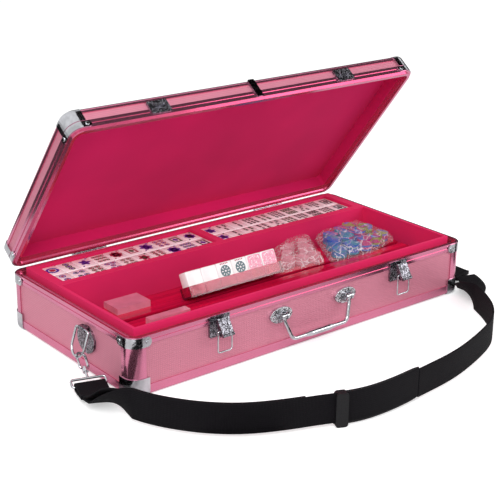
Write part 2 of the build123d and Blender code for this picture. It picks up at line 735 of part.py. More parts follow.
def handle_bracket(x):
    """Cast rosette with two cheeks for the handle's pin."""
    rose = extrude(face_plane("front", x, HANDLE_Z, SLOT_S) * Ellipse(ROSE_W / 2, ROSE_H / 2), amount=ROSE_T + SLOT_S)
    base_y = -HALF_D - ROSE_T
    gap = HANDLE_EYE_W / 2 + HANDLE_GAP
    for sign in (-1, 1):
        inner = x + sign * gap
        outer = x + sign * (gap + CHEEK_T)
        section = Circle(CHEEK_H / 2) + Pos(-HANDLE_OUT / 2, 0) * Rectangle(HANDLE_OUT, CHEEK_H)
        plane = Plane(
            origin=(min(inner, outer), -HALF_D - HANDLE_OUT, HANDLE_Z), x_dir=(0, -1, 0), z_dir=(1, 0, 0)
        )
        cheek = extrude(plane * section, amount=CHEEK_T)
        rose += cheek - block(x - ROSE_W, x + ROSE_W, base_y, 0, 0, BASE_H)
    bore_y = -HALF_D - HANDLE_OUT
    return rose - rod((x - ROSE_W, bore_y, HANDLE_Z), (x + ROSE_W, bore_y, HANDLE_Z), HANDLE_PIN_R + PIN_CLEAR)


def handle_bail():
    """Drop handle: two eyes with cross pins, bent legs and a thicker grip."""
    bar_x = HANDLE_X - HANDLE_IN
    neck = CHEEK_H / 2 + HANDLE_LEG_R
    points = [
        (-HANDLE_X, 0, 0), (-HANDLE_X, 0, neck), (-bar_x, 0, HANDLE_DROP),
        (bar_x, 0, HANDLE_DROP), (HANDLE_X, 0, neck), (HANDLE_X, 0, 0),
    ]
    bail = bent_wire(points, HANDLE_LEG_R, [HANDLE_BEND, HANDLE_BEND, HANDLE_BEND, HANDLE_BEND])
    grip_half = bar_x * GRIP_SHARE
    full = grip_half * GRIP_FULL
    profile = outline(
        (-grip_half, 0), (-grip_half, HANDLE_LEG_R), (-full, HANDLE_GRIP_R),
        (full, HANDLE_GRIP_R), (grip_half, HANDLE_LEG_R), (grip_half, 0),
    )
    grip = revolve(profile, axis=Axis.X, revolution_arc=360)
    bail += Pos(0, 0, HANDLE_DROP) * grip
    pin_half = HANDLE_EYE_W / 2 + HANDLE_GAP + CHEEK_T
    for x in (-HANDLE_X, HANDLE_X):
        bail += Pos(x, 0, 0) * Rotation(0, 90, 0) * Cylinder(HANDLE_EYE_R, HANDLE_EYE_W)
        bail += Pos(x, 0, 0) * Rotation(0, 90, 0) * Cylinder(HANDLE_PIN_R, 2 * pin_half)
    return handle_frame() * bail


def make_handle():
    save("handle_brackets", handle_bracket(-HANDLE_X), handle_bracket(HANDLE_X))
    save("handle_bail", handle_bail())


# ---------------------------------------------------------------- strap fittings

def ring_frame():
    """Frame of the left D-ring: x along its pivot towards the back, z down along the ring."""
    tilt = math.radians(RING_TILT)
    down = (-math.sin(tilt), 0, -math.cos(tilt))
    return Plane(origin=(-HALF_W - RING_OUT, STRAP_Y, RING_PIVOT_Z), x_dir=(0, 1, 0), z_dir=down)


def strap_plate():
    """Oval plate on the end of the case with a clip round the ring's pivot."""
    face = Ellipse(STRAP_PLATE_W / 2, STRAP_PLATE_H / 2)
    plate = extrude(
        face_plane("left", -STRAP_Y, STRAP_PLATE_Z, SLOT_S) * face, amount=STRAP_PLATE_T + SLOT_S
    )
    bore = RING_R + PIN_CLEAR
    outer = bore + RING_CLIP_T
    section = Circle(outer) + Pos(-RING_OUT / 2, 0) * Rectangle(RING_OUT, 2 * outer)
    plane = Plane(
        origin=(-HALF_W - RING_OUT, STRAP_Y - RING_CLIP_W / 2, RING_PIVOT_Z), x_dir=(-1, 0, 0), z_dir=(0, 1, 0)
    )
    clip = extrude(plane * section, amount=RING_CLIP_W)
    clip -= block(-HALF_W, HALF_W, -HALF_D, HALF_D, 0, BASE_H)
    plate += clip
    x = -HALF_W - RING_OUT
    return plate - rod((x, STRAP_Y - RING_W, RING_PIVOT_Z), (x, STRAP_Y + RING_W, RING_PIVOT_Z), bore)


def d_ring():
    """Wire D-ring hanging from its straight bar."""
    half = RING_W / 2
    points = [(-half, 0, 0), (half, 0, 0), (half, 0, RING_H), (-half, 0, RING_H)]
    soft = half - RING_FLAT
    wire = bent_wire(points, RING_R, [RING_BEND, RING_BEND, soft, soft], closed=True)
    return ring_frame() * wire


def hook_contact():
    """Where the hook bears on the lower front of the ring, and the ring's direction there."""
    reach = (RING_W / 2 - RING_FLAT) * math.sqrt(0.5)
    frame = ring_frame()
    spot = frame.from_local_coords((-reach, 0, RING_H - RING_W / 2 + reach))
    ahead = frame.from_local_coords((-reach - 1, 0, RING_H - RING_W / 2 + reach - 1))
    return Vector(*spot), (Vector(*ahead) - Vector(*spot)).normalized()


def hook_frame(eye):
    """Frame of the snap hook: z along the hook to the swivel eye, y across its flat loop."""
    spot, tangent = hook_contact()
    along = (eye - spot).normalized()
    across = (tangent - along * tangent.dot(along)).normalized()
    return Plane(origin=spot, x_dir=across.cross(along), z_dir=along)


def eye_frame(eye):
    """Frame of the swivel eye: z along the hook, x along the level bar that the strap goes round."""
    spot, _ = hook_contact()
    along = (eye - spot).normalized()
    level = along.cross(Vector(0, 0, 1)).normalized()
    if level.X < 0:
        level = level * -1
    return Plane(origin=eye, x_dir=level, z_dir=along)


def snap_hook(eye):
    """Hook with a round nose, two lugs for the gate and a barrel for the swivel."""
    half = HOOK_LOOP_W / 2
    heel = HOOK_LOOP_L - HOOK_NOSE
    lip = GATE_LOW + GATE_L + GATE_R + GATE_GAP
    points = [
        (-half, 0, GATE_LOW - GATE_R - GATE_GAP), (-half, 0, -HOOK_NOSE), (half, 0, -HOOK_NOSE),
        (half, 0, heel), (-half, 0, heel), (-half, 0, lip),
    ]
    wire = bent_wire(points, HOOK_R, [HOOK_BEND, HOOK_BEND, HOOK_HEEL_BEND, HOOK_HEEL_R])
    barrel_top = heel - HOOK_R / 2
    barrel = Pos(0, 0, barrel_top + SWIVEL_L / 2) * Cylinder(SWIVEL_R, SWIVEL_L)
    bore = Pos(0, 0, barrel_top + SWIVEL_L / 2 + 2) * Cylinder(SWIVEL_PIN_R + PIN_CLEAR, SWIVEL_L)
    return hook_frame(eye) * (wire + barrel - bore)


def hook_gate(eye):
    """Sprung bar that closes the hook's mouth."""
    x = -HOOK_LOOP_W / 2
    low = GATE_LOW
    bar = Pos(x, 0, low + GATE_L / 2) * Cylinder(GATE_R, GATE_L)
    bar += Pos(x, 0, low) * Rotation(90, 0, 0) * Cylinder(GATE_R, 2 * HOOK_R)
    bar += Pos(x, 0, low + GATE_L) * Sphere(GATE_R)
    return hook_frame(eye) * bar


def swivel_eye(eye):
    """Rectangular eye on a swivel pin."""
    half = EYE_W / 2
    points = [(-half, 0, -EYE_L), (half, 0, -EYE_L), (half, 0, 0), (-half, 0, 0)]
    wire = bent_wire(points, EYE_R, EYE_BEND, closed=True)
    spot, _ = hook_contact()
    length = (eye - spot).length
    pin_start = HOOK_LOOP_L - HOOK_NOSE - HOOK_R / 2 + 2 + GATE_GAP
    pin = Pos(0, 0, (pin_start - length - EYE_L) / 2) * Cylinder(SWIVEL_PIN_R, length - EYE_L - pin_start)
    return eye_frame(eye) * (wire + pin)


def strap_loop(eye, strap_y):
    """Webbing turned round the eye's bar, closing towards the end of the strap at strap_y."""
    frame = eye_frame(eye)
    level = frame.x_dir
    tail = level.cross(Vector(0, 0, 1)).normalized()
    if tail.Y > 0:
        tail = tail * -1
    centre = frame.origin + tail * (LOOP_R - WEB_T - EYE_R - STRAP_CLEAR)
    outer = Circle(LOOP_R) + outline((0, -LOOP_R), (LOOP_L, -WEB_T), (LOOP_L, WEB_T), (0, LOOP_R))
    bore = LOOP_R - WEB_T
    crease = LOOP_L * LOOP_CREASE
    inner = Circle(bore) + outline((0, -bore), (crease, -LOOP_SEAM), (crease, LOOP_SEAM), (0, bore))
    plane = Plane(origin=centre, x_dir=tail, z_dir=level)
    loop = extrude(plane * (outer - inner), amount=WEB_W / 2, both=True)
    behind_webbing = block(-CASE_W, 0, strap_y + STRAP_CLEAR, HALF_D, -WEB_W, BASE_H)
    return loop & Pos(*eye) * Sphere(LOOP_REACH) & behind_webbing


def make_strap_fittings():
    """Both ends are modelled as the left one, and the right one is mirrored."""
    save("strap_plates", strap_plate(), mirrored(strap_plate()))
    left_eye = Vector(*EYE_LEFT)
    right_eye = Vector(-EYE_RIGHT[0], EYE_RIGHT[1], EYE_RIGHT[2])
    ends = (
        ("left", left_eye, STRAP_ROUTE[-1][1], lambda piece: piece),
        ("right", right_eye, STRAP_ROUTE[0][1], mirrored),
    )
    for label, eye, strap_y, place in ends:
        save(f"strap_ring_{label}", place(d_ring()))
        save(f"snap_hook_{label}", place(snap_hook(eye)))
        save(f"hook_gate_{label}", place(hook_gate(eye)))
        save(f"hook_eye_{label}", place(swivel_eye(eye)))
        save(f"strap_loop_{label}", place(strap_loop(eye, strap_y)))


# ---------------------------------------------------------------- strap

def bend_radii(points):
    """Radius at each corner of a route: 0.45 of the shorter run over the tangent of half the turn."""
    radii = []
    for before, here, after in zip(points, points[1:], points[2:]):
        run_in = Vector(*here) - Vector(*before)
        run_out = Vector(*after) - Vector(*here)
        half_turn = math.radians(run_in.get_angle(run_out)) / 2
        radii.append(0.45 * min(run_in.length, run_out.length) / math.tan(half_turn))
    return radii


def along_run(run, share):
    """A point part of the way along one run of the strap's route."""
    start, end = Vector(*STRAP_ROUTE[run]), Vector(*STRAP_ROUTE[run + 1])
    return start + (end - start) * share


def stretch(first, start, last, end):
    """Part of the strap's route, from a share of one run to a share of a later one, with its radii."""
    radii = bend_radii(STRAP_ROUTE)
    head, tail = along_run(first, start), along_run(last, end)
    inner = STRAP_ROUTE[first + 1:last + 1]
    return [(head.X, head.Y), *inner, (tail.X, tail.Y)], radii[first:last]


def beside(points, radii, distance):
    """The line that runs beside a route, to the left of its direction, with its arcs concentric."""
    runs = [Vector(*b) - Vector(*a) for a, b in zip(points, points[1:])]
    normals = [Vector(-run.Y, run.X).normalized() for run in runs]
    moved = [Vector(*points[0]) + normals[0] * distance]
    new_radii = []
    for i, radius in enumerate(radii):
        mean = (normals[i] + normals[i + 1]).normalized()
        moved.append(Vector(*points[i + 1]) + mean * (distance / mean.dot(normals[i])))
        turn = runs[i].cross(runs[i + 1]).Z
        new_radii.append(radius - math.copysign(distance, turn * distance) * (1 if distance > 0 else -1))
    moved.append(Vector(*points[-1]) + normals[-1] * distance)
    return moved, new_radii


def band(points, radii, thickness, z0, width):
    """A band standing on edge along a route."""
    path = FilletPolyline(*points, radius=radii)
    return Pos(0, 0, z0) * extrude(trace(path, line_width=thickness), amount=width), path.length


def glide_frame():
    """Frame of the tri-glide: x along the strap, y to its outer side."""
    along = (along_run(GLIDE_RUN, 1) - along_run(GLIDE_RUN, 0)).normalized()
    middle = along_run(GLIDE_RUN, 0.5) + Vector(0, 0, WEB_LIFT + WEB_W / 2)
    return Plane(origin=middle, x_dir=along, z_dir=(0, 0, 1))


def tri_glide():
    """Flat slider round both strands of the webbing."""
    room_y = 2 * WEB_T + STRAP_PLY + 2 * GLIDE_PLAY
    room_z = WEB_W + 2 * GLIDE_PLAY
    body = Box(GLIDE_L, room_y + 2 * GLIDE_WALL, room_z + 2 * GLIDE_WALL)
    body = fillet(body.edges().filter_by(Axis.Y), GLIDE_L / 4)
    body -= Box(2 * GLIDE_L, room_y, room_z)
    return glide_frame() * Pos(0, -(WEB_T + STRAP_PLY) / 2, 0) * body


def make_strap():
    radii = bend_radii(STRAP_ROUTE)
    webbing, length = band(STRAP_ROUTE, radii, WEB_T, WEB_LIFT, WEB_W)
    print("strap length", round(length), "volume ratio", round(webbing.volume / (length * WEB_T * WEB_W), 3))
    print("strap radii", [round(radius) for radius in radii])
    save("strap_webbing", webbing)
    back = beside(*stretch(*RETURN_STRETCH), -(WEB_T + STRAP_PLY))
    save("strap_return", band(*back, WEB_T, WEB_LIFT, WEB_W)[0])
    front = beside(*stretch(*PAD_STRETCH), (WEB_T + PAD_T) / 2 + STRAP_PLY)
    save("shoulder_pad", band(*front, PAD_T, 0, PAD_W)[0])
    save("tri_glide", tri_glide())


# ---------------------------------------------------------------- trays and contents

def tray_block(y0, y1, z0):
    """Outer body of a tray, with the case's rounded corners where it meets them."""
    outline_slab = slab(TRAY_IN, z0, TRAY_TOP)
    return outline_slab & block(-HALF_W, HALF_W, y0, y1, z0 - 1, TRAY_TOP + 1)


def tile_tray():
    """Tray with one pocket for each group of tiles."""
    tray = tray_block(TRAY_SEAM + TRAY_SEAM_GAP / 2, HALF_D, FLOOR_TOP)
    for sign in (-1, 1):
        x = sign * (GROUP_GAP + GROUP_W) / 2
        tray -= block(
            x - GROUP_W / 2, x + GROUP_W / 2, GROUP_Y - GROUP_D / 2, GROUP_Y + GROUP_D / 2,
            FLOOR_TOP + TRAY_FLOOR, TRAY_TOP + 1,
        )
    return tray


def tile_group(sign, layers):
    """Tiles of one group in the given layers, each a separate block."""
    tiles = []
    start = GROUP_GAP / 2 + POCKET_CLEAR + TILE_W / 2
    for layer in layers:
        z = FLOOR_TOP + TRAY_FLOOR + (layer + 0.5) * TILE_T
        for column in range(TILE_COLS):
            x = sign * (start + column * TILE_PITCH)
            for row in range(TILE_ROWS):
                y = GROUP_Y + (row - (TILE_ROWS - 1) / 2) * TILE_ROW
                tiles.append(Pos(x, y, z) * Box(TILE_W, TILE_L, TILE_T))
    return tiles


def accessory_tray():
    """Open tray for the racks and the small pieces."""
    z0 = FLOOR_TOP + TRAY_LIFT
    tray = tray_block(-HALF_D, TRAY_SEAM - TRAY_SEAM_GAP / 2, z0)
    wall = TRAY_IN + TRAY_WALL
    tray -= block(
        wall - HALF_W, HALF_W - wall, wall - HALF_D, TRAY_BACK_Y, z0 + TRAY_FLOOR, TRAY_TOP + 1,
    )
    return tray


def rack(y, z):
    """Rack with a foot, a back, a top plate and a low front lip."""
    half = RACK_D / 2
    section = outline(
        (-half, 0), (half, 0), (half, RACK_H), (half - RACK_DECK, RACK_H),
        (half - RACK_DECK, RACK_H - RACK_T), (half - RACK_T, RACK_H - RACK_T), (half - RACK_T, RACK_T),
        (RACK_T - half, RACK_T), (RACK_T - half, RACK_LIP), (-half, RACK_LIP),
    )
    plane = Plane(origin=(-RACK_L / 2, y, z), x_dir=(0, 1, 0), z_dir=(1, 0, 0))
    return extrude(plane * section, amount=RACK_L)


def rack_bar(rack_y, behind, sizes):
    """Bar lying along the top of a rack, near its left end."""
    start, length, depth = sizes
    x = start - RACK_L / 2
    y = rack_y + RACK_D / 2 - behind
    return block(x, x + length, y - depth, y, RACK_TOP, RACK_TOP + BAR_H)


def spare_frame():
    """Frame of the leaning row of spare tiles: x along the row, y into the tile, z up its face."""
    lean = math.radians(SPARE_LEAN)
    up = (0, math.sin(lean), math.cos(lean))
    foot = (SPARE_X * SPREAD, RACK_REAR_Y - SPARE_AHEAD, RACK_TOP + SPARE_UP)
    return Plane(origin=foot, x_dir=(1, 0, 0), z_dir=up)


def spare_tiles():
    """A row of loose tiles leaning back in their holder."""
    tiles = []
    for i in range(SPARES):
        x = (i - (SPARES - 1) / 2) * TILE_PITCH
        tiles.append(spare_frame() * Pos(x, TILE_T / 2, TILE_L / 2) * Box(TILE_W, TILE_T, TILE_L))
    return tiles


def spare_holder():
    """Acrylic trough under and behind the spare tiles, standing on the racks."""
    half = (SPARES * TILE_PITCH) / 2 + HOLDER_T
    deep = TILE_T + 2 * POCKET_CLEAR
    trough = Pos(0, deep / 2 - POCKET_CLEAR, HOLDER_UP / 2 - HOLDER_T) * Box(
        2 * half, deep + 2 * HOLDER_T, HOLDER_UP
    )
    room = Pos(0, deep / 2 - POCKET_CLEAR, HOLDER_UP) * Box(2 * (half - HOLDER_T), deep, 2 * HOLDER_UP)
    trough = spare_frame() * (trough - room)
    return trough & block(-HALF_W, HALF_W, -HALF_D, HALF_D, RACK_TOP, 2 * BASE_H)


def laid(x, ahead):
    """A place on the racks, from the middle of the tray and ahead of its back wall."""
    return x * SPREAD, TRAY_BACK_Y + BAG_BACK - ahead


def bag(points, height):
    """A closed film bag lying on the racks, hollow for what is in it."""
    sheet = outline(*[laid(*point) for point in points])
    body = extrude(sheet, amount=height)
    body = fillet(body.edges().filter_by(Axis.Z), BAG_ROUND)
    body = fillet(body.edges().group_by(Axis.Z)[-1], BAG_ROUND / 2)
    room = extrude(offset(sheet, amount=-BAG_FILM - BAG_ROUND / 2), amount=height - 2 * BAG_FILM)
    return Pos(0, 0, RACK_TOP) * (body - Pos(0, 0, BAG_FILM) * room)


def dice():
    """Dice lying in the dice bag."""
    z = RACK_TOP + BAG_FILM + DIE / 2
    return [Pos(*laid(x, ahead), z) * Rotation(0, 0, turn) * Box(DIE, DIE, DIE) for x, ahead, turn in DICE]


def coins():
    """Counters lying in the coin bag, in low stacks."""
    stacks = []
    for x, ahead, count in COINS:
        for level in range(count):
            z = RACK_TOP + BAG_FILM + (level + 0.5) * COIN_T
            stacks.append(Pos(*laid(x, ahead), z) * Cylinder(COIN_R, COIN_T))
    return stacks


def make_contents():
    save("tile_tray", tile_tray())
    save("tiles_top", *tile_group(-1, [TILE_LAYERS - 1]), *tile_group(1, [TILE_LAYERS - 1]))
    lower = range(TILE_LAYERS - 1)
    save("tiles_lower", *tile_group(-1, lower), *tile_group(1, lower))
    save("accessory_tray", accessory_tray())
    racks = [rack(y, z) for y in (RACK_REAR_Y, RACK_FRONT_Y) for z in (RACK_Z, RACK_Z + RACK_H)]
    save("tile_racks", *racks)
    save("spare_tiles", *spare_tiles())
    save("spare_tile_holder", spare_holder())
    save("dice_bag", bag(DICE_BAG, DICE_BAG_H))
    save("dice", *dice())
    save("coin_bag", bag(COIN_BAG, COIN_BAG_H))
    save("coins", *coins())
    rear_bar = rack_bar(RACK_REAR_Y, REAR_BAR_IN, REAR_BAR)
    front_bar = rack_bar(RACK_FRONT_Y, FRONT_BAR_IN, FRONT_BAR)
    save("rack_bars", rear_bar, front_bar)


if __name__ == "__main__":
    make_case()
    make_lid()
    make_hinges()
    make_latches()
    make_handle()
    make_strap_fittings()
    make_strap()
    make_contents()
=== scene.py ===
import math

import bmesh
import bpy
import numpy as np
from bpy.props import FloatProperty, FloatVectorProperty, IntProperty, PointerProperty
from mathutils import Matrix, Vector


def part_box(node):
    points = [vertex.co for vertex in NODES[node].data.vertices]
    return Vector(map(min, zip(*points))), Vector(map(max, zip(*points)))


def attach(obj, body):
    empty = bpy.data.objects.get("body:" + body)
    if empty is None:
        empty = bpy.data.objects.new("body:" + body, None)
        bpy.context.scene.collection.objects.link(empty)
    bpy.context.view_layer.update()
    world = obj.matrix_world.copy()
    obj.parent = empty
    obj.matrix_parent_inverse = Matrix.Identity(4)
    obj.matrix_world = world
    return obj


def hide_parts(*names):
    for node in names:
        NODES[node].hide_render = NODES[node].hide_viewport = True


bl_info = {
    "name": "Mahjong case",
    "version": (1, 0, 0),
    "blender": (4, 5, 0),
    "location": "View3D > Sidebar > Mahjong case",
    "description": "Finishes and soft pieces of a mahjong set in its aluminium carrying case",
    "category": "Object",
}

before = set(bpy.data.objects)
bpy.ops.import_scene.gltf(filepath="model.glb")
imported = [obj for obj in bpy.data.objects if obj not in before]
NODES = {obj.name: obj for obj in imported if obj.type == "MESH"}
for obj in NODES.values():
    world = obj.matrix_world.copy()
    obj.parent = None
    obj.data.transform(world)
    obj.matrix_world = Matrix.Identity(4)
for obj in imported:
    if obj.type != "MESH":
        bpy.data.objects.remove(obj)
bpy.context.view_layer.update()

# ---------------------------------------------------------------- sizes, in metres

MM = 0.001
UP = np.array([0, 0, 1.0])
ALONG_X = np.array([1.0, 0, 0])
ALONG_Y = np.array([0, 1.0, 0])
FRONT_Y = -0.1325                # front face of the case
LID_TURN = math.radians(52.5)    # how far the lid stands open; its patterns turn with it
HANDLE_X = 0.052                 # handle pins, on either side of the middle
HANDLE_Z = 0.048

# middle of the webbing, from the right hook round the front to the left one
ROUTE = [
    (0.2961, -0.1147), (0.294, -0.129), (0.283, -0.143), (0.267, -0.151), (0.250, -0.156),
    (0.236, -0.173), (0.225, -0.198), (0.211, -0.225), (0.191, -0.254), (0.159, -0.281),
    (0.112, -0.300), (0.054, -0.317), (-0.004, -0.3235), (-0.060, -0.3285), (-0.104, -0.325),
    (-0.141, -0.3085), (-0.182, -0.294), (-0.221, -0.275), (-0.251, -0.249), (-0.273, -0.220),
    (-0.289, -0.190), (-0.297, -0.160), (-0.300, -0.136), (-0.2986, -0.1141),
]
PAD_RUN = (0.398, 0.519)         # distances along the route
SLIDER_RUN = 0.552
TWIST_RIGHT = (0.052, 0.112)     # where the webbing turns from flat to upright
TWIST_LEFT = (0.062, 0.012)      # the same, measured back from its left end
SETTLED = 0.028                  # by here the webbing has come down from the right hook
PARTED = 0.045                   # the two strands at the left hook are apart for this length
PARTED_GAP = 7.0 * MM
STRAND_GAP = 0.2 * MM
LEAN_AT_TWIST = 1.45             # lean of the webbing, in radians, where it has turned flat
LEAN_AT_END = 1.5
EYE_Z = 0.0085
EYES = {"left": (-0.290, -0.086, EYE_Z), "right": (0.2885, -0.086, EYE_Z)}
HOOK_LINES = {"left": (-0.2592, -0.8453), "right": (0.2258, -0.8526)}   # level part of each hook
LOOP_RADIUS = 4.0 * MM           # of the webbing round an eye
LOOP_REST = 1.35 * MM            # half the spacing of its strands once they lie together
LOOP_RUN = 26.4 * MM
LOOP_REACH = 28.4 * MM           # its end is rounded to this distance from the eye
LOOP_END = 11.0 * MM             # half of the width that is left there
EYE_PLAY = 1.0 * MM

# spare tiles: bottom front edge of the row, and its lean
SPARE_FOOT = np.array([-0.052, -0.050, 0.062])
SPARE_LEAN = math.radians(28)
SPARE_COUNT = 6

# bags: height of what they lie on, the corners they fill, and how high they stand
RACK_TOP = 0.0525
DICE_BAG_H = 0.022
COIN_BAG_H = 0.024
DICE_CORNERS = [(0.024, -0.040), (0.048, 0.010), (0.098, 0.036), (0.140, 0.032), (0.097, -0.048)]
COIN_CORNERS = [(0.103, -0.052), (0.147, 0.032), (0.230, 0.036), (0.236, -0.038), (0.176, -0.056)]
COIN_RUN = (0.13, 0.22)          # the counters' colours change between these places along X

# marks on the tiles: corners of each shape, how far its rim is sunk into the face, and the width and
# length of the field that dots or sticks are spread over, in millimetres
MARK_SIDES = 12
MARK_SUNK = 0.1 * MM
DOT_FIELD = (17, 24)
STICK_FIELD = (18, 25)

# camera: its place, the directions of its back, its roll and its lens; and the glow of the stage
CAMERA_PLACE = (-0.9475, -1.1741, 0.6356)
CAMERA_TURN = math.radians(-39.14)
CAMERA_RAISED = math.radians(20.24)
CAMERA_ROLL = math.radians(0.66)
CAMERA_LENS = 90.2
FLOOR_GLOW = 0.42
WORLD_GLOW = 0.62
LAMPS = {                        # place and size
    "key": ((-1.5, -1.5, 2.0), 1.6),
    "fill": ((1.8, -1.6, 1.1), 1.2),
}
CARDS = {                        # middle, half width and half length of each dark card
    "card_top": ((0.95, -0.25, 1.6), (0.1, 0.55, 0), (-0.5, 0, 0.4)),
    "card_high": ((1.1, 1.1, 0.9), (-0.7, 0.7, 0), (0, 0, 0.75)),
    "card_back": ((-0.75, 0.85, 0.004), (0.25, 0.2, 0), (-0.3, 0.35, 0)),
    "card_left": ((-0.46, -0.02, 0.002), (0.13, 0, 0), (0, 0.05, 0)),
    "card_front": ((-0.22, -0.40, 0.002), (0.035, 0, 0), (0, 0.16, 0)),
    "card_right": ((0.55, -0.20, 0.002), (0.2, 0, 0), (0, 0.04, 0)),
}


# ---------------------------------------------------------------- small helpers

def srgb(code):
    """Linear colour of a six-digit sRGB hex value."""
    parts = [int(code[i:i + 2], 16) / 255 for i in (1, 3, 5)]
    return tuple(c / 12.92 if c <= 0.04045 else ((c + 0.055) / 1.055) ** 2.4 for c in parts)


def colour(name, text, code):
    """A colour property with its sRGB default."""
    return FloatVectorProperty(
        name=name, description=text, subtype="COLOR", size=3, min=0, max=1, default=srgb(code)
    )


def length(name, text, metres):
    """A length property in metres."""
    return FloatProperty(name=name, description=text, unit="LENGTH", min=0, default=metres)


def add(tree, kind, inputs=None, **settings):
    """Add a node: its settings, then each input's value or the socket it is linked from."""
    made = tree.nodes.new(kind)
    for key, value in settings.items():
        setattr(made, key, value)
    for key, value in (inputs or {}).items():
        if isinstance(value, bpy.types.NodeSocket):
            tree.links.new(value, made.inputs[key])
        else:
            made.inputs[key].default_value = value
    return made


def new_material(name, base, roughness, **sockets):
    """A material with one Principled shader; sockets are its other inputs, underscores for spaces."""
    material = bpy.data.materials.new(name)
    material.use_nodes = True
    shader = material.node_tree.nodes["Principled BSDF"]
    shader.inputs["Base Color"].default_value = (*base, 1)
    shader.inputs["Roughness"].default_value = roughness
    for key, value in sockets.items():
        shader.inputs[key.replace("_", " ")].default_value = value
    return material, material.node_tree, shader


def sine_of(tree, socket, pitch):
    """Sine wave of a coordinate with the given pitch in metres."""
    scaled = add(tree, "ShaderNodeMath", {0: socket, 1: 2 * math.pi / pitch}, operation="MULTIPLY")
    return add(tree, "ShaderNodeMath", {0: scaled.outputs[0]}, operation="SINE").outputs[0]


def total(tree, *sockets):
    """Sum of several sockets."""
    result = sockets[0]
    for socket in sockets[1:]:
        result = add(tree, "ShaderNodeMath", {0: result, 1: socket}, operation="ADD").outputs[0]
    return result


def object_place(tree, turn=0.0):
    """Object coordinates, turned about X by how far the lid stands open so that they follow it."""
    place = add(tree, "ShaderNodeTexCoord").outputs["Object"]
    return add(tree, "ShaderNodeMapping", {"Vector": place, "Rotation": (turn, 0, 0)}).outputs[0]


def split(tree, vector):
    """The X, Y and Z of a vector."""
    return add(tree, "ShaderNodeSeparateXYZ", {0: vector}).outputs


def rescaled(tree, place, scale):
    """Coordinates stretched or drawn together along each axis."""
    return add(tree, "ShaderNodeMapping", {"Vector": place, "Scale": scale}).outputs[0]


def blotches(tree, place, size, detail=3.0):
    """Soft noise with patches of the given size in metres."""
    made = add(tree, "ShaderNodeTexNoise", {"Vector": place, "Scale": 1 / size, "Detail": detail})
    return made.outputs["Fac"]


def shades(tree, shader, factor, base, low, high, start=0.0, end=1.0):
    """Colour the shader by a factor, between two darker or lighter versions of its base colour."""
    ramp = add(tree, "ShaderNodeValToRGB", {"Fac": factor})
    for stop, share, place in zip(ramp.color_ramp.elements, (low, high), (start, end)):
        stop.color = (*[min(1.0, c * share) for c in base], 1)
        stop.position = place
    tree.links.new(ramp.outputs[0], shader.inputs["Base Color"])


def relief(tree, shader, height, distance, strength=1.0):
    """Bump of the given depth in metres."""
    made = add(tree, "ShaderNodeBump", {"Height": height, "Distance": distance, "Strength": strength})
    tree.links.new(made.outputs[0], shader.inputs["Normal"])


def dress(material, *names):
    """Give CAD nodes a material."""
    for name in names:
        NODES[name].data.materials.clear()
        NODES[name].data.materials.append(material)


# ---------------------------------------------------------------- mesh helpers

def grid_faces(rows, columns, closed=False):
    """Quads between neighbouring points of a grid that is stored row by row, and round again from
    its last column to its first where it is closed."""
    i = np.arange(rows - 1)[:, None]
    j = np.arange(columns if closed else columns - 1)[None, :]
    ahead, beside = i + 1, (j + 1) % columns
    quads = [i * columns + j, i * columns + beside, ahead * columns + beside, ahead * columns + j]
    return np.stack(quads, axis=-1).reshape(-1, 4)


def tube_faces(rows, columns):
    """Quads of a closed tube of rings, and one face over each end."""
    ring = np.arange(columns)
    ends = [ring[::-1].tolist(), (ring + (rows - 1) * columns).tolist()]
    return grid_faces(rows, columns, closed=True).tolist() + ends


def new_mesh(name, points, faces, material):
    """A mesh of points and faces with a material."""
    mesh = bpy.data.meshes.new(name)
    mesh.from_pydata(np.reshape(points, (-1, 3)).tolist(), [], faces)
    mesh.materials.append(material)
    return mesh


def show(name, data):
    """An object in the scene."""
    made = bpy.data.objects.new(name, data)
    bpy.context.scene.collection.objects.link(made)
    return made


def new_piece(name, points, faces, material, body, uv=None, smooth=True):
    """An object from arrays of points and faces, at the origin, its faces outward, riding on a body."""
    mesh = new_mesh(name, points, faces, material)
    if uv is not None:
        corners = np.empty(len(mesh.loops), dtype=np.int32)
        mesh.loops.foreach_get("vertex_index", corners)
        layer = mesh.uv_layers.new(name="UVMap")
        layer.data.foreach_set("uv", np.reshape(uv, (-1, 2))[corners].astype(np.float32).ravel())
    welded = bmesh.new()
    welded.from_mesh(mesh)
    bmesh.ops.remove_doubles(welded, verts=welded.verts, dist=1e-6)
    bmesh.ops.recalc_face_normals(welded, faces=welded.faces)
    welded.to_mesh(mesh)
    welded.free()
    mesh.polygons.foreach_set("use_smooth", [smooth] * len(mesh.polygons))
    piece = show(name, mesh)
    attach(piece, body)
    return piece


def unit(vectors):
    """A vector, or each row of an array, brought to length one."""
    return vectors / np.linalg.norm(vectors, axis=-1, keepdims=True)


def signed_power(x, power):
    """x raised to a power with its sign kept, which squares or sharpens an ellipse."""
    return np.sign(x) * np.abs(x) ** power


def smooth_step(x):
    """From 0 to 1, level at both ends."""
    return x ** 2 * (3 - 2 * x)


def stand(name, data, back, place, roll=0.0):
    """A lamp or camera at a place with its back to a direction, level but for its roll."""
    right = unit(np.cross(UP, back))
    up = np.cross(back, right)
    across = math.cos(roll) * right + math.sin(roll) * up
    upward = math.cos(roll) * up - math.sin(roll) * right
    made = show(name, data)
    made.matrix_world = Matrix([*zip(across, upward, back, place), (0, 0, 0, 1)])
    return made


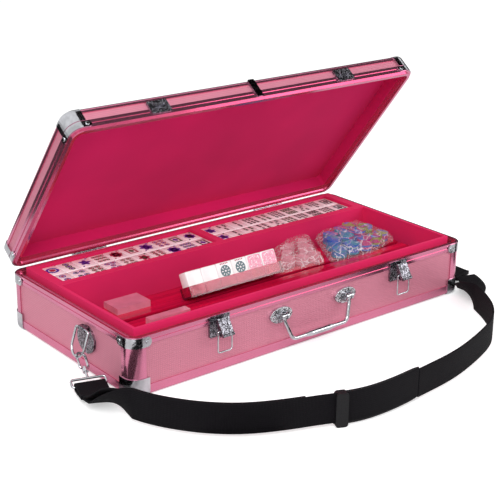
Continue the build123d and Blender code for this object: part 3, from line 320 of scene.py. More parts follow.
def rounded_block(size, rounding):
    """A block with rounded edges: each point of a 4 by 4 grid on a cube's sides becomes the nearest
    point of an inner box plus the rounding along the direction that is left over."""
    half = np.array(size) / 2
    points, faces = [], []
    for axis in range(3):
        u, v = (axis + 1) % 3, (axis + 2) % 3
        for sign in (-1, 1):
            steps_u = np.array([-half[u], rounding - half[u], half[u] - rounding, half[u]])
            steps_v = np.array([-half[v], rounding - half[v], half[v] - rounding, half[v]])
            side = np.empty((4, 4, 3))
            side[..., u], side[..., v] = np.meshgrid(steps_u, steps_v, indexing="ij")
            side[..., axis] = sign * half[axis]
            faces.append(grid_faces(4, 4) + 16 * len(points))
            points.append(side.reshape(-1, 3))
    points = np.concatenate(points)
    inner = np.clip(points, rounding - half, half - rounding)
    return inner + rounding * unit(points - inner), np.concatenate(faces)


def repeated(points, faces, centres, turn):
    """Copies of a shape, turned by a matrix and set at each centre."""
    placed = (points @ np.array(turn).T)[None] + np.array(centres)[:, None]
    steps = np.arange(len(centres))[:, None, None] * len(points)
    return placed.reshape(-1, 3), (faces[None] + steps).reshape(-1, faces.shape[1])


def inlays(marks, centre, across, along, out):
    """Thin raised shapes on a face: superellipses x = a cos^p, y = b sin^p, turned by an angle, their
    rims sunk below the face and their tops lifted above it."""
    x, y, a, b, angle, power, lift = np.array(marks, float).T[:, :, None]
    theta = np.linspace(0, 2 * np.pi, MARK_SIDES, endpoint=False)[None]
    px, py = a * signed_power(np.cos(theta), power), b * signed_power(np.sin(theta), power)
    qx = x + px * np.cos(angle) - py * np.sin(angle)
    qy = y + px * np.sin(angle) + py * np.cos(angle)
    flat = centre + qx[..., None] * MM * across + qy[..., None] * MM * along
    top = flat + lift[..., None] * MM * out
    low = flat - MARK_SUNK * out
    return np.stack([low, top], axis=1)


def mark_faces(count):
    """Top and sides of each raised shape, which is a lower and an upper ring of points."""
    start = np.arange(count)[:, None] * 2 * MARK_SIDES
    low = start + np.arange(MARK_SIDES)
    beside = np.roll(low, -1, axis=1)
    sides = np.stack([low, beside, beside + MARK_SIDES, low + MARK_SIDES], axis=-1)
    return (low + MARK_SIDES).tolist() + sides.reshape(-1, 4).tolist()


# ---------------------------------------------------------------- settings

class CaseFinishes(bpy.types.PropertyGroup):
    """Colours of the case and its linings."""
    anodised: colour("Frame", "Anodised aluminium of the extrusions and posts", "#DC86A4")
    panel: colour("Panels", "Embossed aluminium skin of the panels", "#DE8AA0")
    plating: colour("Plating", "Bright plated steel of the fittings", "#C9CACF")
    dark_plating: colour("Dark plating", "Darker plated steel of the latches", "#8C8A92")
    velvet: colour("Velvet", "Lining of the lid and the base", "#D21C60")
    flock: colour("Flock", "Flocked trays", "#DC2660")
    acrylic: colour("Acrylic", "Tinted racks", "#D81242")
    bars: colour("Bars", "Pale bars on the racks", "#E88AA4")


class TileSettings(bpy.types.PropertyGroup):
    """Sizes and colours of the tiles."""
    width: length("Width", "Width of a tile", 0.023)
    depth: length("Depth", "Length of a tile", 0.030)
    height: length("Thickness", "Thickness of a tile", 0.016)
    pitch: length("Pitch", "Spacing of the columns", 0.0233)
    rounding: length("Rounding", "Radius of a tile's edges", 0.0016)
    columns: IntProperty(name="Columns", description="Columns of tiles in each pocket", default=10, min=1)
    resin: colour("Resin", "Polished resin of the tiles", "#FBF0F4")


class StrapSettings(bpy.types.PropertyGroup):
    """Sizes and colours of the shoulder strap."""
    width: length("Width", "Width of the webbing", 0.035)
    thickness: length("Thickness", "Thickness of the webbing", 0.0024)
    lift: length("Lift", "Lower edge of the webbing above the ground", 0.0025)
    pad_width: length("Pad width", "Width of the shoulder pad", 0.040)
    pad_thickness: length("Pad thickness", "Thickness of the shoulder pad", 0.005)
    webbing: colour("Webbing", "Woven webbing", "#0A060D")
    pad: colour("Pad", "Grained pad", "#0B090D")


class StageSettings(bpy.types.PropertyGroup):
    """Floor and light."""
    floor: colour("Floor", "Floor and backdrop", "#F4F4F4")
    key: FloatProperty(name="Key light", description="Power of the large lamp", unit="POWER", default=46.0)
    fill: FloatProperty(name="Fill light", description="Power of the fill lamp", unit="POWER", default=14.0)


# ---------------------------------------------------------------- materials

def anodised_aluminium(name, base, turn=0.0):
    """Anodised extrusion: a satin dyed metal with faint drawing lines, about 900 to the metre."""
    material, tree, shader = new_material(name, base, 0.16, Metallic=0.9)
    place = object_place(tree, turn)
    lines = blotches(tree, rescaled(tree, place, (6.0, 6.0, 900.0)), 1.0, 2.0)
    shades(tree, shader, blotches(tree, place, 50 * MM), base, 0.93, 1.04, 0.3, 0.7)
    relief(tree, shader, lines, 0.03 * MM)
    return material


def embossed_skin(name, base, turn=0.0):
    """Aluminium skin rolled with rows of dots, painted paler on their raised tops and darker between them:
    painted highlight and painted shade. Such dots are often about 1.5 mm apart; they are drawn coarser, 2.5
    mm apart, so that they show."""
    material, tree, shader = new_material(name, base, 0.42, Metallic=0.35)
    axes = split(tree, object_place(tree, turn))
    pattern = total(tree, *[sine_of(tree, axis, 2.5 * MM) for axis in axes])
    factor = add(tree, "ShaderNodeMapRange", {"Value": pattern, "From Min": -1.0, "From Max": 2.4})
    # painted highlight on the raised dots and painted shade between them, following the bump
    shades(tree, shader, factor.outputs[0], base, 0.86, 1.12, 0.25, 0.85)
    relief(tree, shader, pattern, 0.12 * MM, 0.7)
    return material


def plated_steel(name, base):
    """Bright nickel and chrome plate: a mirror with slight waves from the pressing under it."""
    material, tree, shader = new_material(name, base, 0.13, Metallic=1.0)
    place = object_place(tree)
    shades(tree, shader, blotches(tree, place, 12 * MM), base, 0.72, 1.05, 0.35, 0.62)
    relief(tree, shader, blotches(tree, place, 4 * MM, 2.0), 0.4 * MM, 0.5)
    return material


def engraved_steel(name, base):
    """Pressed plate with an all-over scroll ornament about 3 mm across, painted dark in its hollows and
    bright on its ridges: painted reflections of the crinkled plate.
    """
    material, tree, shader = new_material(name, base, 0.2, Metallic=1.0)
    scroll = add(
        tree, "ShaderNodeTexNoise",
        {"Vector": object_place(tree), "Scale": 1 / (3.2 * MM), "Detail": 1.0, "Distortion": 1.6},
    ).outputs["Fac"]
    # painted reflection: dark in the hollows of the scroll, brighter than the plate on its ridges
    shades(tree, shader, scroll, base, 0.22, 1.35, 0.44, 0.58)
    relief(tree, shader, scroll, 0.9 * MM, 0.9)
    return material


def velvet(name, base):
    """Short-pile velvet: a soft sheen at grazing angles, and nap lying in broad patches."""
    material, tree, shader = new_material(
        name, base, 0.85, Sheen_Weight=0.12, Sheen_Roughness=0.45, Specular_IOR_Level=0.12
    )
    shader.inputs["Sheen Tint"].default_value = (1.0, 0.45, 0.6, 1)
    place = object_place(tree)
    shades(tree, shader, blotches(tree, place, 120 * MM, 2.0), base, 0.9, 1.08, 0.3, 0.7)
    relief(tree, shader, blotches(tree, place, 1.6 * MM, 2.0), 0.15 * MM, 0.6)
    return material


def clear_plastic(
    name, base, roughness, alpha=1.0, transmission=0.0, stretch=(1.0, 1.0, 1.0), streak_and_highlight=0.06
):
    """Cast or extruded acrylic, tinted and seen partly through; an extruded one has streaks along it, in
    its bump and in its colour, where the paler and darker streaks of colour are painted highlight and
    painted shade.
    """
    material, tree, shader = new_material(
        name, base, roughness, Alpha=alpha, Transmission_Weight=transmission,
        Coat_Weight=0.4, Coat_Roughness=0.08,
    )
    drawn = rescaled(tree, object_place(tree), stretch)
    relief(tree, shader, blotches(tree, drawn, 10 * MM, 2.0), 5 * MM * streak_and_highlight, 0.6)
    cloud = blotches(tree, drawn, 12 * MM)
    # colour swings paler and darker along the streaks: painted highlight and painted shade, strong on the
    # racks and faint on the others
    shades(tree, shader, cloud, base, 1 - streak_and_highlight, 1 + streak_and_highlight, 0.35, 0.65)
    return material


def polished_resin(name, base):
    """Cast and polished resin: smooth and glossy, with a slight clouding."""
    material, tree, shader = new_material(name, base, 0.22, Coat_Weight=0.3, Coat_Roughness=0.1)
    cloud = blotches(tree, object_place(tree), 8 * MM)
    shades(tree, shader, cloud, base, 0.95, 1.03, 0.3, 0.7)
    return material


def woven_webbing(name, base):
    """Woven polyester webbing: ribs across it, crossed by threads along it. They are drawn 1.6 and
    2.2 mm apart, coarser than real ones."""
    material, tree, shader = new_material(name, base, 0.75, Specular_IOR_Level=0.15)
    run, side, _ = split(tree, add(tree, "ShaderNodeUVMap", uv_map="UVMap").outputs[0])
    ribs, threads = sine_of(tree, run, 1.6 * MM), sine_of(tree, side, 2.2 * MM)
    weave = add(tree, "ShaderNodeMath", {0: ribs, 1: threads}, operation="MULTIPLY").outputs[0]
    height = total(tree, ribs, weave)
    # painted highlight on the raised ribs and threads and painted shade between them, following the bump
    shades(tree, shader, height, base, 0.6, 1.5, 0.1, 1.0)
    relief(tree, shader, height, 0.35 * MM, 0.9)
    return material


def grained_leathercloth(name, base):
    """Embossed leathercloth and moulded plastic: a pebbled grain that breaks up the shine, drawn
    1.8 mm across, coarser than a real one."""
    material, tree, shader = new_material(name, base, 0.55, Specular_IOR_Level=0.3)
    grain = {"Vector": object_place(tree), "Scale": 1 / (1.8 * MM)}
    pebbles = add(tree, "ShaderNodeTexVoronoi", grain).outputs["Distance"]
    shades(tree, shader, pebbles, base, 1.5, 0.7, 0.0, 0.8)
    relief(tree, shader, pebbles, 0.3 * MM, 0.6)
    return material


def moulded_counters(name):
    """Moulded polystyrene counters, each one colour throughout; the colours change along the bag."""
    material, tree, shader = new_material(name, (0.5, 0.5, 0.5), 0.3, Coat_Weight=0.2)
    island = add(tree, "ShaderNodeNewGeometry").outputs["Random Per Island"]
    x = split(tree, object_place(tree))[0]
    along = add(
        tree, "ShaderNodeMapRange",
        {"Value": x, "From Min": COIN_RUN[0], "From Max": COIN_RUN[1], "To Max": 0.62}, clamp=True,
    )
    mixed = add(tree, "ShaderNodeMath", {0: island, 1: 0.36, 2: along.outputs[0]}, operation="MULTIPLY_ADD")
    ramp = add(tree, "ShaderNodeValToRGB", {"Fac": mixed.outputs[0]})
    ramp.color_ramp.interpolation = "CONSTANT"
    codes = ["#1F6FB8", "#1687A8", "#2E62C0", "#B8327C", "#8C9A48", "#7470C4"]
    for i, code in enumerate(codes):
        if i > 1:
            ramp.color_ramp.elements.new(i / len(codes))
        ramp.color_ramp.elements[i].position = i / len(codes)
        ramp.color_ramp.elements[i].color = (*srgb(code), 1)
    tree.links.new(ramp.outputs[0], shader.inputs["Base Color"])
    return material


def pigment(name, code):
    """Glossy paint rubbed into an engraving, a little thicker here and there."""
    base = srgb(code)
    material, tree, shader = new_material(name, base, 0.3)
    thickness = blotches(tree, object_place(tree), 3 * MM)
    shades(tree, shader, thickness, base, 0.85, 1.15, 0.3, 0.7)
    return material


def crumpled_film(name):
    """Thin clear polythene: nearly invisible where it lies flat, and painted white and more opaque along
    its creases as a painted highlight; there are about 48, 115 and 60 creases to the metre along X, Y and
    Z."""
    material, tree, shader = new_material(
        name, srgb("#FFF2F6"), 0.12, Coat_Weight=0.5, Coat_Roughness=0.05
    )
    place = object_place(tree)
    wander = add(tree, "ShaderNodeTexNoise", {"Vector": place, "Scale": 1 / (14 * MM), "Detail": 2.0})
    moved = add(
        tree, "ShaderNodeMixRGB", {"Fac": 0.02, "Color1": place, "Color2": wander.outputs["Color"]}
    ).outputs[0]
    cells = add(
        tree, "ShaderNodeTexVoronoi", {"Vector": rescaled(tree, moved, (48, 115, 60)), "Scale": 1.0},
        feature="DISTANCE_TO_EDGE",
    ).outputs["Distance"]
    crease_highlight = add(
        tree, "ShaderNodeMapRange",
        {"Value": cells, "From Max": 0.05, "To Min": 0.6, "To Max": 0.08}, clamp=True,
    )
    # painted highlight: the film is made white and more opaque along the creases
    tree.links.new(crease_highlight.outputs[0], shader.inputs["Alpha"])
    relief(tree, shader, cells, 1.2 * MM, 0.8)
    return material


# ---------------------------------------------------------------- case

class CASE_OT_shell(bpy.types.Operator):
    """Finishes of the frame, panels, linings and trays"""
    bl_idname = "mahjong_case.shell"
    bl_label = "Shell"

    def execute(self, context):
        look = context.scene.case_finishes
        base = anodised_aluminium("anodised_aluminium", look.anodised)
        lid = anodised_aluminium("anodised_aluminium_lid", look.anodised, LID_TURN)
        dress(base, "base_bottom_frame", "base_rim_frame", "base_corner_posts")
        dress(lid, "lid_top_frame", "lid_rim_frame", "lid_corner_posts")
        dress(embossed_skin("embossed_skin", look.panel), "base_side_panels", "base_bottom_panel")
        dress(embossed_skin("embossed_skin_lid", look.panel, LID_TURN), "lid_side_panels", "lid_top_panel")
        dress(velvet("velvet", look.velvet), "base_lining", "lid_lining")
        dress(velvet("flock", look.flock), "tile_tray", "accessory_tray")
        return {"FINISHED"}


class CASE_OT_fittings(bpy.types.Operator):
    """Plated corners, hinges, latches, handle and strap fittings"""
    bl_idname = "mahjong_case.fittings"
    bl_label = "Fittings"

    def execute(self, context):
        look = context.scene.case_finishes
        bright = plated_steel("plated_steel", look.plating)
        dark = engraved_steel("engraved_steel", look.dark_plating)
        ornate = engraved_steel("engraved_steel_bright", look.plating)
        dress(
            bright, "base_corner_caps", "base_corner_clips", "base_rivets", "lid_corner_caps",
            "lid_corner_clips", "lid_rivets", "hinge_base_leaves", "hinge_lid_leaves", "hinge_pins",
            "handle_brackets", "handle_bail", "latch_left_bail", "latch_right_bail",
        )
        for part in ("strap_ring", "snap_hook", "hook_gate", "hook_eye"):
            dress(bright, f"{part}_left", f"{part}_right")
        dress(dark, "latch_plates", "latch_left_lever", "latch_right_lever", "lid_catches", "strap_plates")
        dress(plated_steel("plated_steel_dark", look.dark_plating), "lid_centre_clip")
        self.rosette("rosette_left", -HANDLE_X, ornate)
        self.rosette("rosette_right", HANDLE_X, ornate)
        return {"FINISHED"}

    def rosette(self, name, x, material):
        """Pressed ornament round a handle pin: an ellipse whose dome is 0.9 (1 - r^2) mm high, with
        eight petals of 0.4 r sin(pi r) cos(8 t) mm on it, closed by a flat back."""
        half_width, half_height, seat, back = 16.2 * MM, 9.2 * MM, 2.0 * MM, 1.6 * MM
        r = np.linspace(0, 1, 14)[:, None]
        t = np.linspace(0, 2 * np.pi, 64, endpoint=False)[None]
        edge = 1 + 0.07 * np.cos(8 * t)
        dome = 0.9 * (1 - r ** 2) + 0.4 * r * np.sin(np.pi * r) * np.cos(8 * t)
        front = np.stack([
            x + half_width * r * edge * np.cos(t),
            FRONT_Y - seat - dome * MM,
            HANDLE_Z + half_height * r * edge * np.sin(t),
        ], axis=-1)
        rim = front[-1:].copy()
        rim[..., 1] = FRONT_Y - back
        middle = np.repeat(rim.mean(axis=1, keepdims=True), rim.shape[1], axis=1)
        shell = np.concatenate([front, rim, middle])
        faces = grid_faces(*shell.shape[:2], closed=True)
        piece = new_piece(name, shell, faces, material, "root")


# ---------------------------------------------------------------- tiles

ROWS_OF_DOTS = {
    1: (1,), 2: (1, 1), 3: (1, 1, 1), 4: (2, 2), 5: (2, 1, 2), 6: (2, 2, 2), 7: (3, 2, 2),
    8: (2, 2, 2, 2), 9: (3, 3, 3),
}
DOT_RADII = {1: 8.6, 2: 4.4, 3: 4.4, 4: 3.7, 5: 3.7, 6: 3.7, 7: 3.1, 8: 3.1, 9: 3.1}
ROWS_OF_STICKS = {
    2: (1, 1), 3: (1, 2), 4: (2, 2), 5: (2, 1, 2), 6: (3, 3), 7: (1, 3, 3), 8: (4, 4), 9: (3, 3, 3),
}
PIGMENTS = {
    "blue": "#4038A0", "green": "#3E5A3C", "red": "#A82A48", "purple": "#5A2A98",
    "dark": "#332C32", "white": "#F6EEF2", "grey": "#4A666E", "rose": "#EE9AB4",
}


def spots(rows, wide, deep):
    """Places of marks in rows, spread over a tile's face."""
    places = []
    for i, count in enumerate(rows):
        y = deep * ((i + 0.5) / len(rows) - 0.5)
        for j in range(count):
            places.append((wide * ((j + 0.5) / count - 0.5), y))
    return places


def mark(tone, x, y, a, b=None, angle=0.0, power=1.0, lift=0.05):
    """One shape of a pigment, as inlays reads it, in millimetres. What lies on others is lifted more."""
    return tone, (x, y, a, a if b is None else b, angle, power, lift)


def dot_tile(count, outer, inner):
    """Rings with a coloured middle."""
    radius = DOT_RADII[count]
    marks = []
    for x, y in spots(ROWS_OF_DOTS[count], *DOT_FIELD):
        marks.append(mark(outer, x, y, radius))
        marks.append(mark("white", x, y, 0.6 * radius, lift=0.10))
        marks.append(mark(inner, x, y, 0.5 * radius, lift=0.15))
    return marks


def stick_tile(count, tone="dark"):
    """Upright sticks with a knot in the middle."""
    rows = ROWS_OF_STICKS[count]
    marks = []
    for x, y in spots(rows, *STICK_FIELD):
        marks.append(mark(tone, x, y, 1.9, 10.5 / len(rows), power=0.4))
        marks.append(mark("white", x, y, 0.9, 0.5, power=0.5, lift=0.10))
    return marks


def flower_tile(tone, middle, petals=6, reach=6.2):
    """Petals round a middle, with a leaf in two of the corners."""
    marks = []
    for i in range(petals):
        angle = 2 * math.pi * i / petals
        x, y = 0.55 * reach * math.cos(angle), 0.7 * reach * math.sin(angle)
        marks.append(mark(tone, x, y, 0.75 * reach, 0.45 * reach, angle))
    marks.append(mark(middle, 0, 0, 2.0, lift=0.12))
    return marks + [mark(middle, x, y, 2.2, 1.2, 0.8, 1.4) for x, y in ((-7.5, -11), (7.5, 11))]


def lattice_tile(tone, middle):
    """A frame with a lozenge in it."""
    marks = [mark(tone, x, 0, 1.3, 8.5, power=0.3) for x in (-5.5, 5.5)]
    marks += [mark(tone, 0, y, 6.5, 1.3, power=0.3, lift=0.06) for y in (-7.5, 7.5)]
    return marks + [mark(middle, 0, 0, 3.6, 5.2, power=1.6, lift=0.07)]


def wheel_tile(height=3.4):
    """A wheel of eight spokes, whose hub stands above the tile's middle, under a row of five dashes."""
    marks = [mark("grey", 0, height, 7.6)]
    for angle in np.linspace(0, 2 * math.pi, 8, endpoint=False):
        x, y = 4.6 * math.cos(angle), 4.6 * math.sin(angle) + height
        marks.append(mark("white", x, y, 1.5, 0.6, angle, lift=0.10))
    marks.append(mark("white", 0, height, 1.2, lift=0.10))
    return marks + [mark("red", x, 12.9, 0.9, 1.1, 0.3, 1.3) for x in (-5, -2.5, 0, 2.5, 5)]


def speckled_tile(count=70):
    """A tinted face with pale flecks of all sizes."""
    rng = np.random.default_rng(7)
    ranges = ((-9.5, 9.5), (-13, 13), (0.4, 1.0), (0, 3))
    flecks = zip(*[rng.uniform(low, high, count) for low, high in ranges])
    marks = [mark("rose", 0, 0, 10.4, 13.9, power=0.25)]
    return marks + [mark("white", x, y, a, 0.6 * a, angle, lift=0.10) for x, y, a, angle in flecks]


LEFT_FRONT = [
    dot_tile(2, "blue", "red"), dot_tile(4, "blue", "green"), dot_tile(6, "green", "red"),
    dot_tile(5, "purple", "red"), dot_tile(7, "green", "red"), flower_tile("red", "green"),
    dot_tile(8, "red", "green"), flower_tile("purple", "purple", 8, 7.0), dot_tile(9, "purple", "green"),
    lattice_tile("dark", "purple"),
]
LEFT_BACK = [
    dot_tile(1, "blue", "red"), dot_tile(3, "green", "purple"), flower_tile("purple", "blue", 5),
    dot_tile(9, "red", "green"), flower_tile("red", "red", 8, 7.0), lattice_tile("red", "green"),
    flower_tile("purple", "purple", 6, 7.5), dot_tile(6, "red", "purple"), lattice_tile("green", "purple"),
    flower_tile("purple", "dark", 8),
]
RIGHT_FRONT = [
    flower_tile("purple", "dark", 5), stick_tile(2), stick_tile(3, "green"), stick_tile(4),
    stick_tile(5), stick_tile(6, "green"), stick_tile(7), stick_tile(8), stick_tile(9),
    lattice_tile("grey", "dark"),
]
RIGHT_BACK = [
    flower_tile("purple", "blue", 6), stick_tile(3), stick_tile(2), stick_tile(6),
    stick_tile(4, "green"), stick_tile(9), stick_tile(8, "green"), stick_tile(5), stick_tile(7),
    lattice_tile("dark", "dark"),
]


def gather(sets, marks, centre, across, along, out):
    """Add a face's marks to the shapes of each pigment."""
    for tone in dict.fromkeys(tone for tone, _ in marks):
        chosen = [shape for name, shape in marks if name == tone]
        sets.setdefault(tone, []).append(inlays(chosen, centre, across, along, out))


def paint(prefix, sets, body):
    """One piece for each pigment."""
    for tone in sorted(sets):
        points = np.concatenate(sets[tone])
        paste = bpy.data.materials.get(f"pigment_{tone}") or pigment(f"pigment_{tone}", PIGMENTS[tone])
        faces = mark_faces(len(points))
        new_piece(f"{prefix}_{tone}", points, faces, paste, body, smooth=False)


class CASE_OT_tiles(bpy.types.Operator):
    """Tiles in the tray, with their engraved faces"""
    bl_idname = "mahjong_case.tiles"
    bl_label = "Tiles"

    def execute(self, context):
        sizes = context.scene.tile_settings
        resin = polished_resin("polished_resin", sizes.resin)
        dress(resin, "tiles_lower")
        low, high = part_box("tiles_top")
        top = (low.z + high.z) / 2
        rows = (low.y + sizes.depth / 2, high.y - sizes.depth / 2)
        columns = np.arange(sizes.columns) * sizes.pitch
        left = low.x + sizes.width / 2 + columns
        right = high.x - sizes.width / 2 - columns[::-1]
        centres, sets = [], {}
        for xs, faces in ((left, (LEFT_FRONT, LEFT_BACK)), (right, (RIGHT_FRONT, RIGHT_BACK))):
            for y, row in zip(rows, faces):
                for x, marks in zip(xs, row):
                    centres.append(np.array([x, y, top]))
                    gather(sets, marks, centres[-1] + UP * sizes.height / 2, ALONG_X, ALONG_Y, UP)
        shape = rounded_block((sizes.width, sizes.depth, sizes.height), sizes.rounding)
        points, faces = repeated(*shape, centres, np.eye(3))
        piece = new_piece("tile_blocks", points, faces, resin, "root")
        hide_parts("tiles_top")
        paint("tile_marks", sets, "root")
        return {"FINISHED"}


class CASE_OT_spares(bpy.types.Operator):
    """Racks, bars and the leaning row of spare tiles in their holder"""
    bl_idname = "mahjong_case.spares"
    bl_label = "Racks and spare tiles"

    def execute(self, context):
        look, sizes = context.scene.case_finishes, context.scene.tile_settings
        # the racks' strong streaks are bumps plus painted highlight and painted shade in their colour
        drawn = {"transmission": 0.2, "stretch": (0.05, 1.6, 1.0), "streak_and_highlight": 0.25}
        dress(clear_plastic("tinted_acrylic", look.acrylic, 0.1, **drawn), "tile_racks")
        dress(clear_plastic("pale_acrylic", look.bars, 0.15, alpha=0.75), "rack_bars")
        holder = clear_plastic("pink_acrylic", srgb("#E0487C"), 0.08, transmission=0.9)
        dress(holder, "spare_tile_holder")
        up = math.sin(SPARE_LEAN) * ALONG_Y + math.cos(SPARE_LEAN) * UP
        back = math.cos(SPARE_LEAN) * ALONG_Y - math.sin(SPARE_LEAN) * UP
        steps = (np.arange(SPARE_COUNT) - (SPARE_COUNT - 1) / 2) * sizes.pitch
        fronts = SPARE_FOOT + steps[:, None] * ALONG_X + up * sizes.depth / 2
        shape = rounded_block((sizes.width, sizes.height, sizes.depth), sizes.rounding)
        turn = np.stack([ALONG_X, back, up], axis=1)
        points, faces = repeated(*shape, fronts + back * sizes.height / 2, turn)
        white = polished_resin("white_resin", srgb("#F7F3F4"))
        piece = new_piece("spare_blocks", points, faces, white, "accessory_tray")
        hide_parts("spare_tiles")
        sets, wheel, speckled = {}, wheel_tile(), speckled_tile()
        for front, marks in zip(fronts, [[], [], wheel, wheel, speckled, speckled]):
            gather(sets, marks, front, ALONG_X, up, -back)
        paint("spare_marks", sets, "accessory_tray")
        return {"FINISHED"}


# ---------------------------------------------------------------- bags

def crossed(a, b):
    """Cross product of flat vectors: a number for each pair."""
    return a[..., 0] * b[..., 1] - a[..., 1] * b[..., 0]


def bag_outline(corners, count):
    """Distance from the middle of a bag to its edge in each direction: the nearest side of the
    polygon of corners along each ray, evened out over the neighbouring directions."""
    corners = np.array(corners)
    middle = corners.mean(axis=0)
    theta = np.linspace(0, 2 * np.pi, count, endpoint=False)
    rays = np.stack([np.cos(theta), np.sin(theta)], axis=1)
    start, side = corners - middle, np.roll(corners, -1, axis=0) - corners
    turned = crossed(rays[:, None], side)
    reach, share = crossed(start, side) / turned, crossed(start, rays[:, None]) / turned
    slack = 1e-9
    met = (reach > 0) & (share >= -slack) & (share <= 1 + slack)
    reach = np.where(met, reach, np.inf).min(axis=1)
    kernel = np.array([1, 2, 3, 2, 1]) / 9
    padded = np.concatenate([reach[-2:], reach, reach[:2]])
    return middle, rays, np.convolve(padded, kernel, mode="valid")


def film_bag(name, corners, height, seed, material, node):
    """A closed film bag: over its outline the top is height (1 - r^4)^0.6, with creases that are the
    sum of folded sine ridges in several directions, and the underside lies flat."""
    rings, under, count, folds = 46, 10, 144, 9
    middle, rays, reach = bag_outline(corners, count)
    r = np.concatenate([np.linspace(0, 1, rings), np.linspace(1, 0, under)])[:, None]
    plan = middle + (r * (reach - 0.6 * MM))[..., None] * rays[None]
    rng = np.random.default_rng(seed)
    ridges = np.zeros(plan.shape[:2])
    for _ in range(folds):
        angle, pitch, phase = rng.uniform(0, np.pi), rng.uniform(9, 26) * MM, rng.uniform(0, 6)
        along = plan[..., 0] * math.cos(angle) + plan[..., 1] * math.sin(angle)
        ridges += (1 - np.abs(np.sin(np.pi * along / pitch + phase))) ** 3
    lobes = 0.86 + 0.05 * np.sin(3 * np.arctan2(rays[:, 1], rays[:, 0]))
    top = height * (1 - r ** 4) ** 0.6 * lobes + 3.4 * MM * (ridges / folds - 0.25) * (1 - r ** 6)
    z = np.where(np.arange(len(r))[:, None] < rings, np.maximum(top, 0.5 * MM), 0.3 * MM)
    points = np.concatenate([plan, (RACK_TOP + z)[..., None]], axis=-1)
    piece = new_piece(name, points, grid_faces(len(r), count, closed=True), material, "accessory_tray")
    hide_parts(node)


class CASE_OT_bags(bpy.types.Operator):
    """Film bags with the dice and the counters in them"""
    bl_idname = "mahjong_case.bags"
    bl_label = "Bags"

    def execute(self, context):
        film = crumpled_film("crumpled_film")
        film_bag("dice_film", DICE_CORNERS, DICE_BAG_H, 3, film, "dice_bag")
        film_bag("coin_film", COIN_CORNERS, COIN_BAG_H, 11, film, "coin_bag")
        dress(moulded_counters("moulded_counters"), "coins")
        dress(clear_plastic("dice_resin", srgb("#EFB4C2"), 0.15, alpha=0.6), "dice")
        return {"FINISHED"}


# ---------------------------------------------------------------- strap

def strap_line():
    """Points along the smooth line of the strap: its route as a spline, read as a mesh."""
    curve = bpy.data.curves.new("strap_line", "CURVE")
    curve.dimensions = "3D"
    curve.resolution_u = 16
    spline = curve.splines.new("NURBS")
    spline.points.add(len(ROUTE) - 1)
    for point, (x, y) in zip(spline.points, ROUTE):
        point.co = (x, y, 0, 1)
    spline.order_u = 3
    spline.use_endpoint_u = True
    holder = show("strap_line", curve)
    graph = bpy.context.evaluated_depsgraph_get()
    mesh = bpy.data.meshes.new_from_object(holder.evaluated_get(graph))
    points = np.empty(len(mesh.vertices) * 3)
    mesh.vertices.foreach_get("co", points)
    bpy.data.objects.remove(holder)
    return points.reshape(-1, 3)


def run_of(points):
    """Distance of each point along a line."""
    steps = np.linalg.norm(np.diff(points, axis=0), axis=1)
    return np.concatenate([[0.0], np.cumsum(steps)])


def along_strap(line, start, end, count):
    """Evenly spaced points of the line between two distances, with their sideways directions."""
    run = run_of(line)
    wanted = np.linspace(start, end, count)
    points = np.stack([np.interp(wanted, run, line[:, i]) for i in range(3)], axis=1)
    ahead = unit(np.gradient(points, axis=0))
    return wanted, points, np.cross(UP, ahead)


def lean_along(run, full):
    """Lean of the webbing at each distance: upright for most of its run, turning flat at both ends."""
    left = [full - reach for reach in TWIST_LEFT]
    leans = [LEAN_AT_END, LEAN_AT_TWIST, 0, 0, LEAN_AT_TWIST, LEAN_AT_END]
    return np.interp(run, [0, *TWIST_RIGHT, *left, full], leans)


def leaning(lean, beside):
    """Directions across a band and through it, at each lean towards its side."""
    cosine, sine = np.cos(lean)[:, None], np.sin(lean)[:, None]
    return cosine * UP + sine * beside, sine * UP - cosine * beside


def height_from_right(look, lean, run):
    """Height of the webbing's middle: it comes down from the right eye and then runs on the ground."""
    grounded = look.lift + look.width / 2 * np.cos(lean) + look.thickness / 2
    return grounded + (EYE_Z - grounded) * smooth_step(np.clip(1 - run / SETTLED, 0, 1))


def height_to_left(look, lean):
    """Height of the webbing's middle: it turns from upright to flat as it rises to the left eye."""
    half, flat = look.width / 2, np.sin(lean)
    turning = EYE_Z * flat + (look.lift + half) * (1 - flat)
    return np.maximum(turning, look.lift + half * np.cos(lean) + look.thickness)


def webbing_band(name, look, centre, across, through, cloth, body, width=None):
    """A piece of webbing: a twelve-sided profile with rounded edges, carried along the centre line
    with its own directions at each point, and with its own width at each point if one is given."""
    profile = np.array([
        (-0.5, -0.3), (-0.485, -0.5), (-0.2, -0.5), (0.2, -0.5), (0.485, -0.5), (0.5, -0.3),
        (0.5, 0.3), (0.485, 0.5), (0.2, 0.5), (-0.2, 0.5), (-0.485, 0.5), (-0.5, 0.3),
    ])
    width = np.full(len(centre), look.width) if width is None else width
    sides, plies = profile[:, 0] * width[:, None], profile[:, 1:] * look.thickness
    points = centre[:, None] + across[:, None] * sides[..., None] + through[:, None] * plies
    uv = np.stack(np.broadcast_arrays(run_of(centre)[:, None], sides), axis=-1)
    return new_piece(name, points, tube_faces(len(centre), len(profile)), cloth, body, uv=uv)


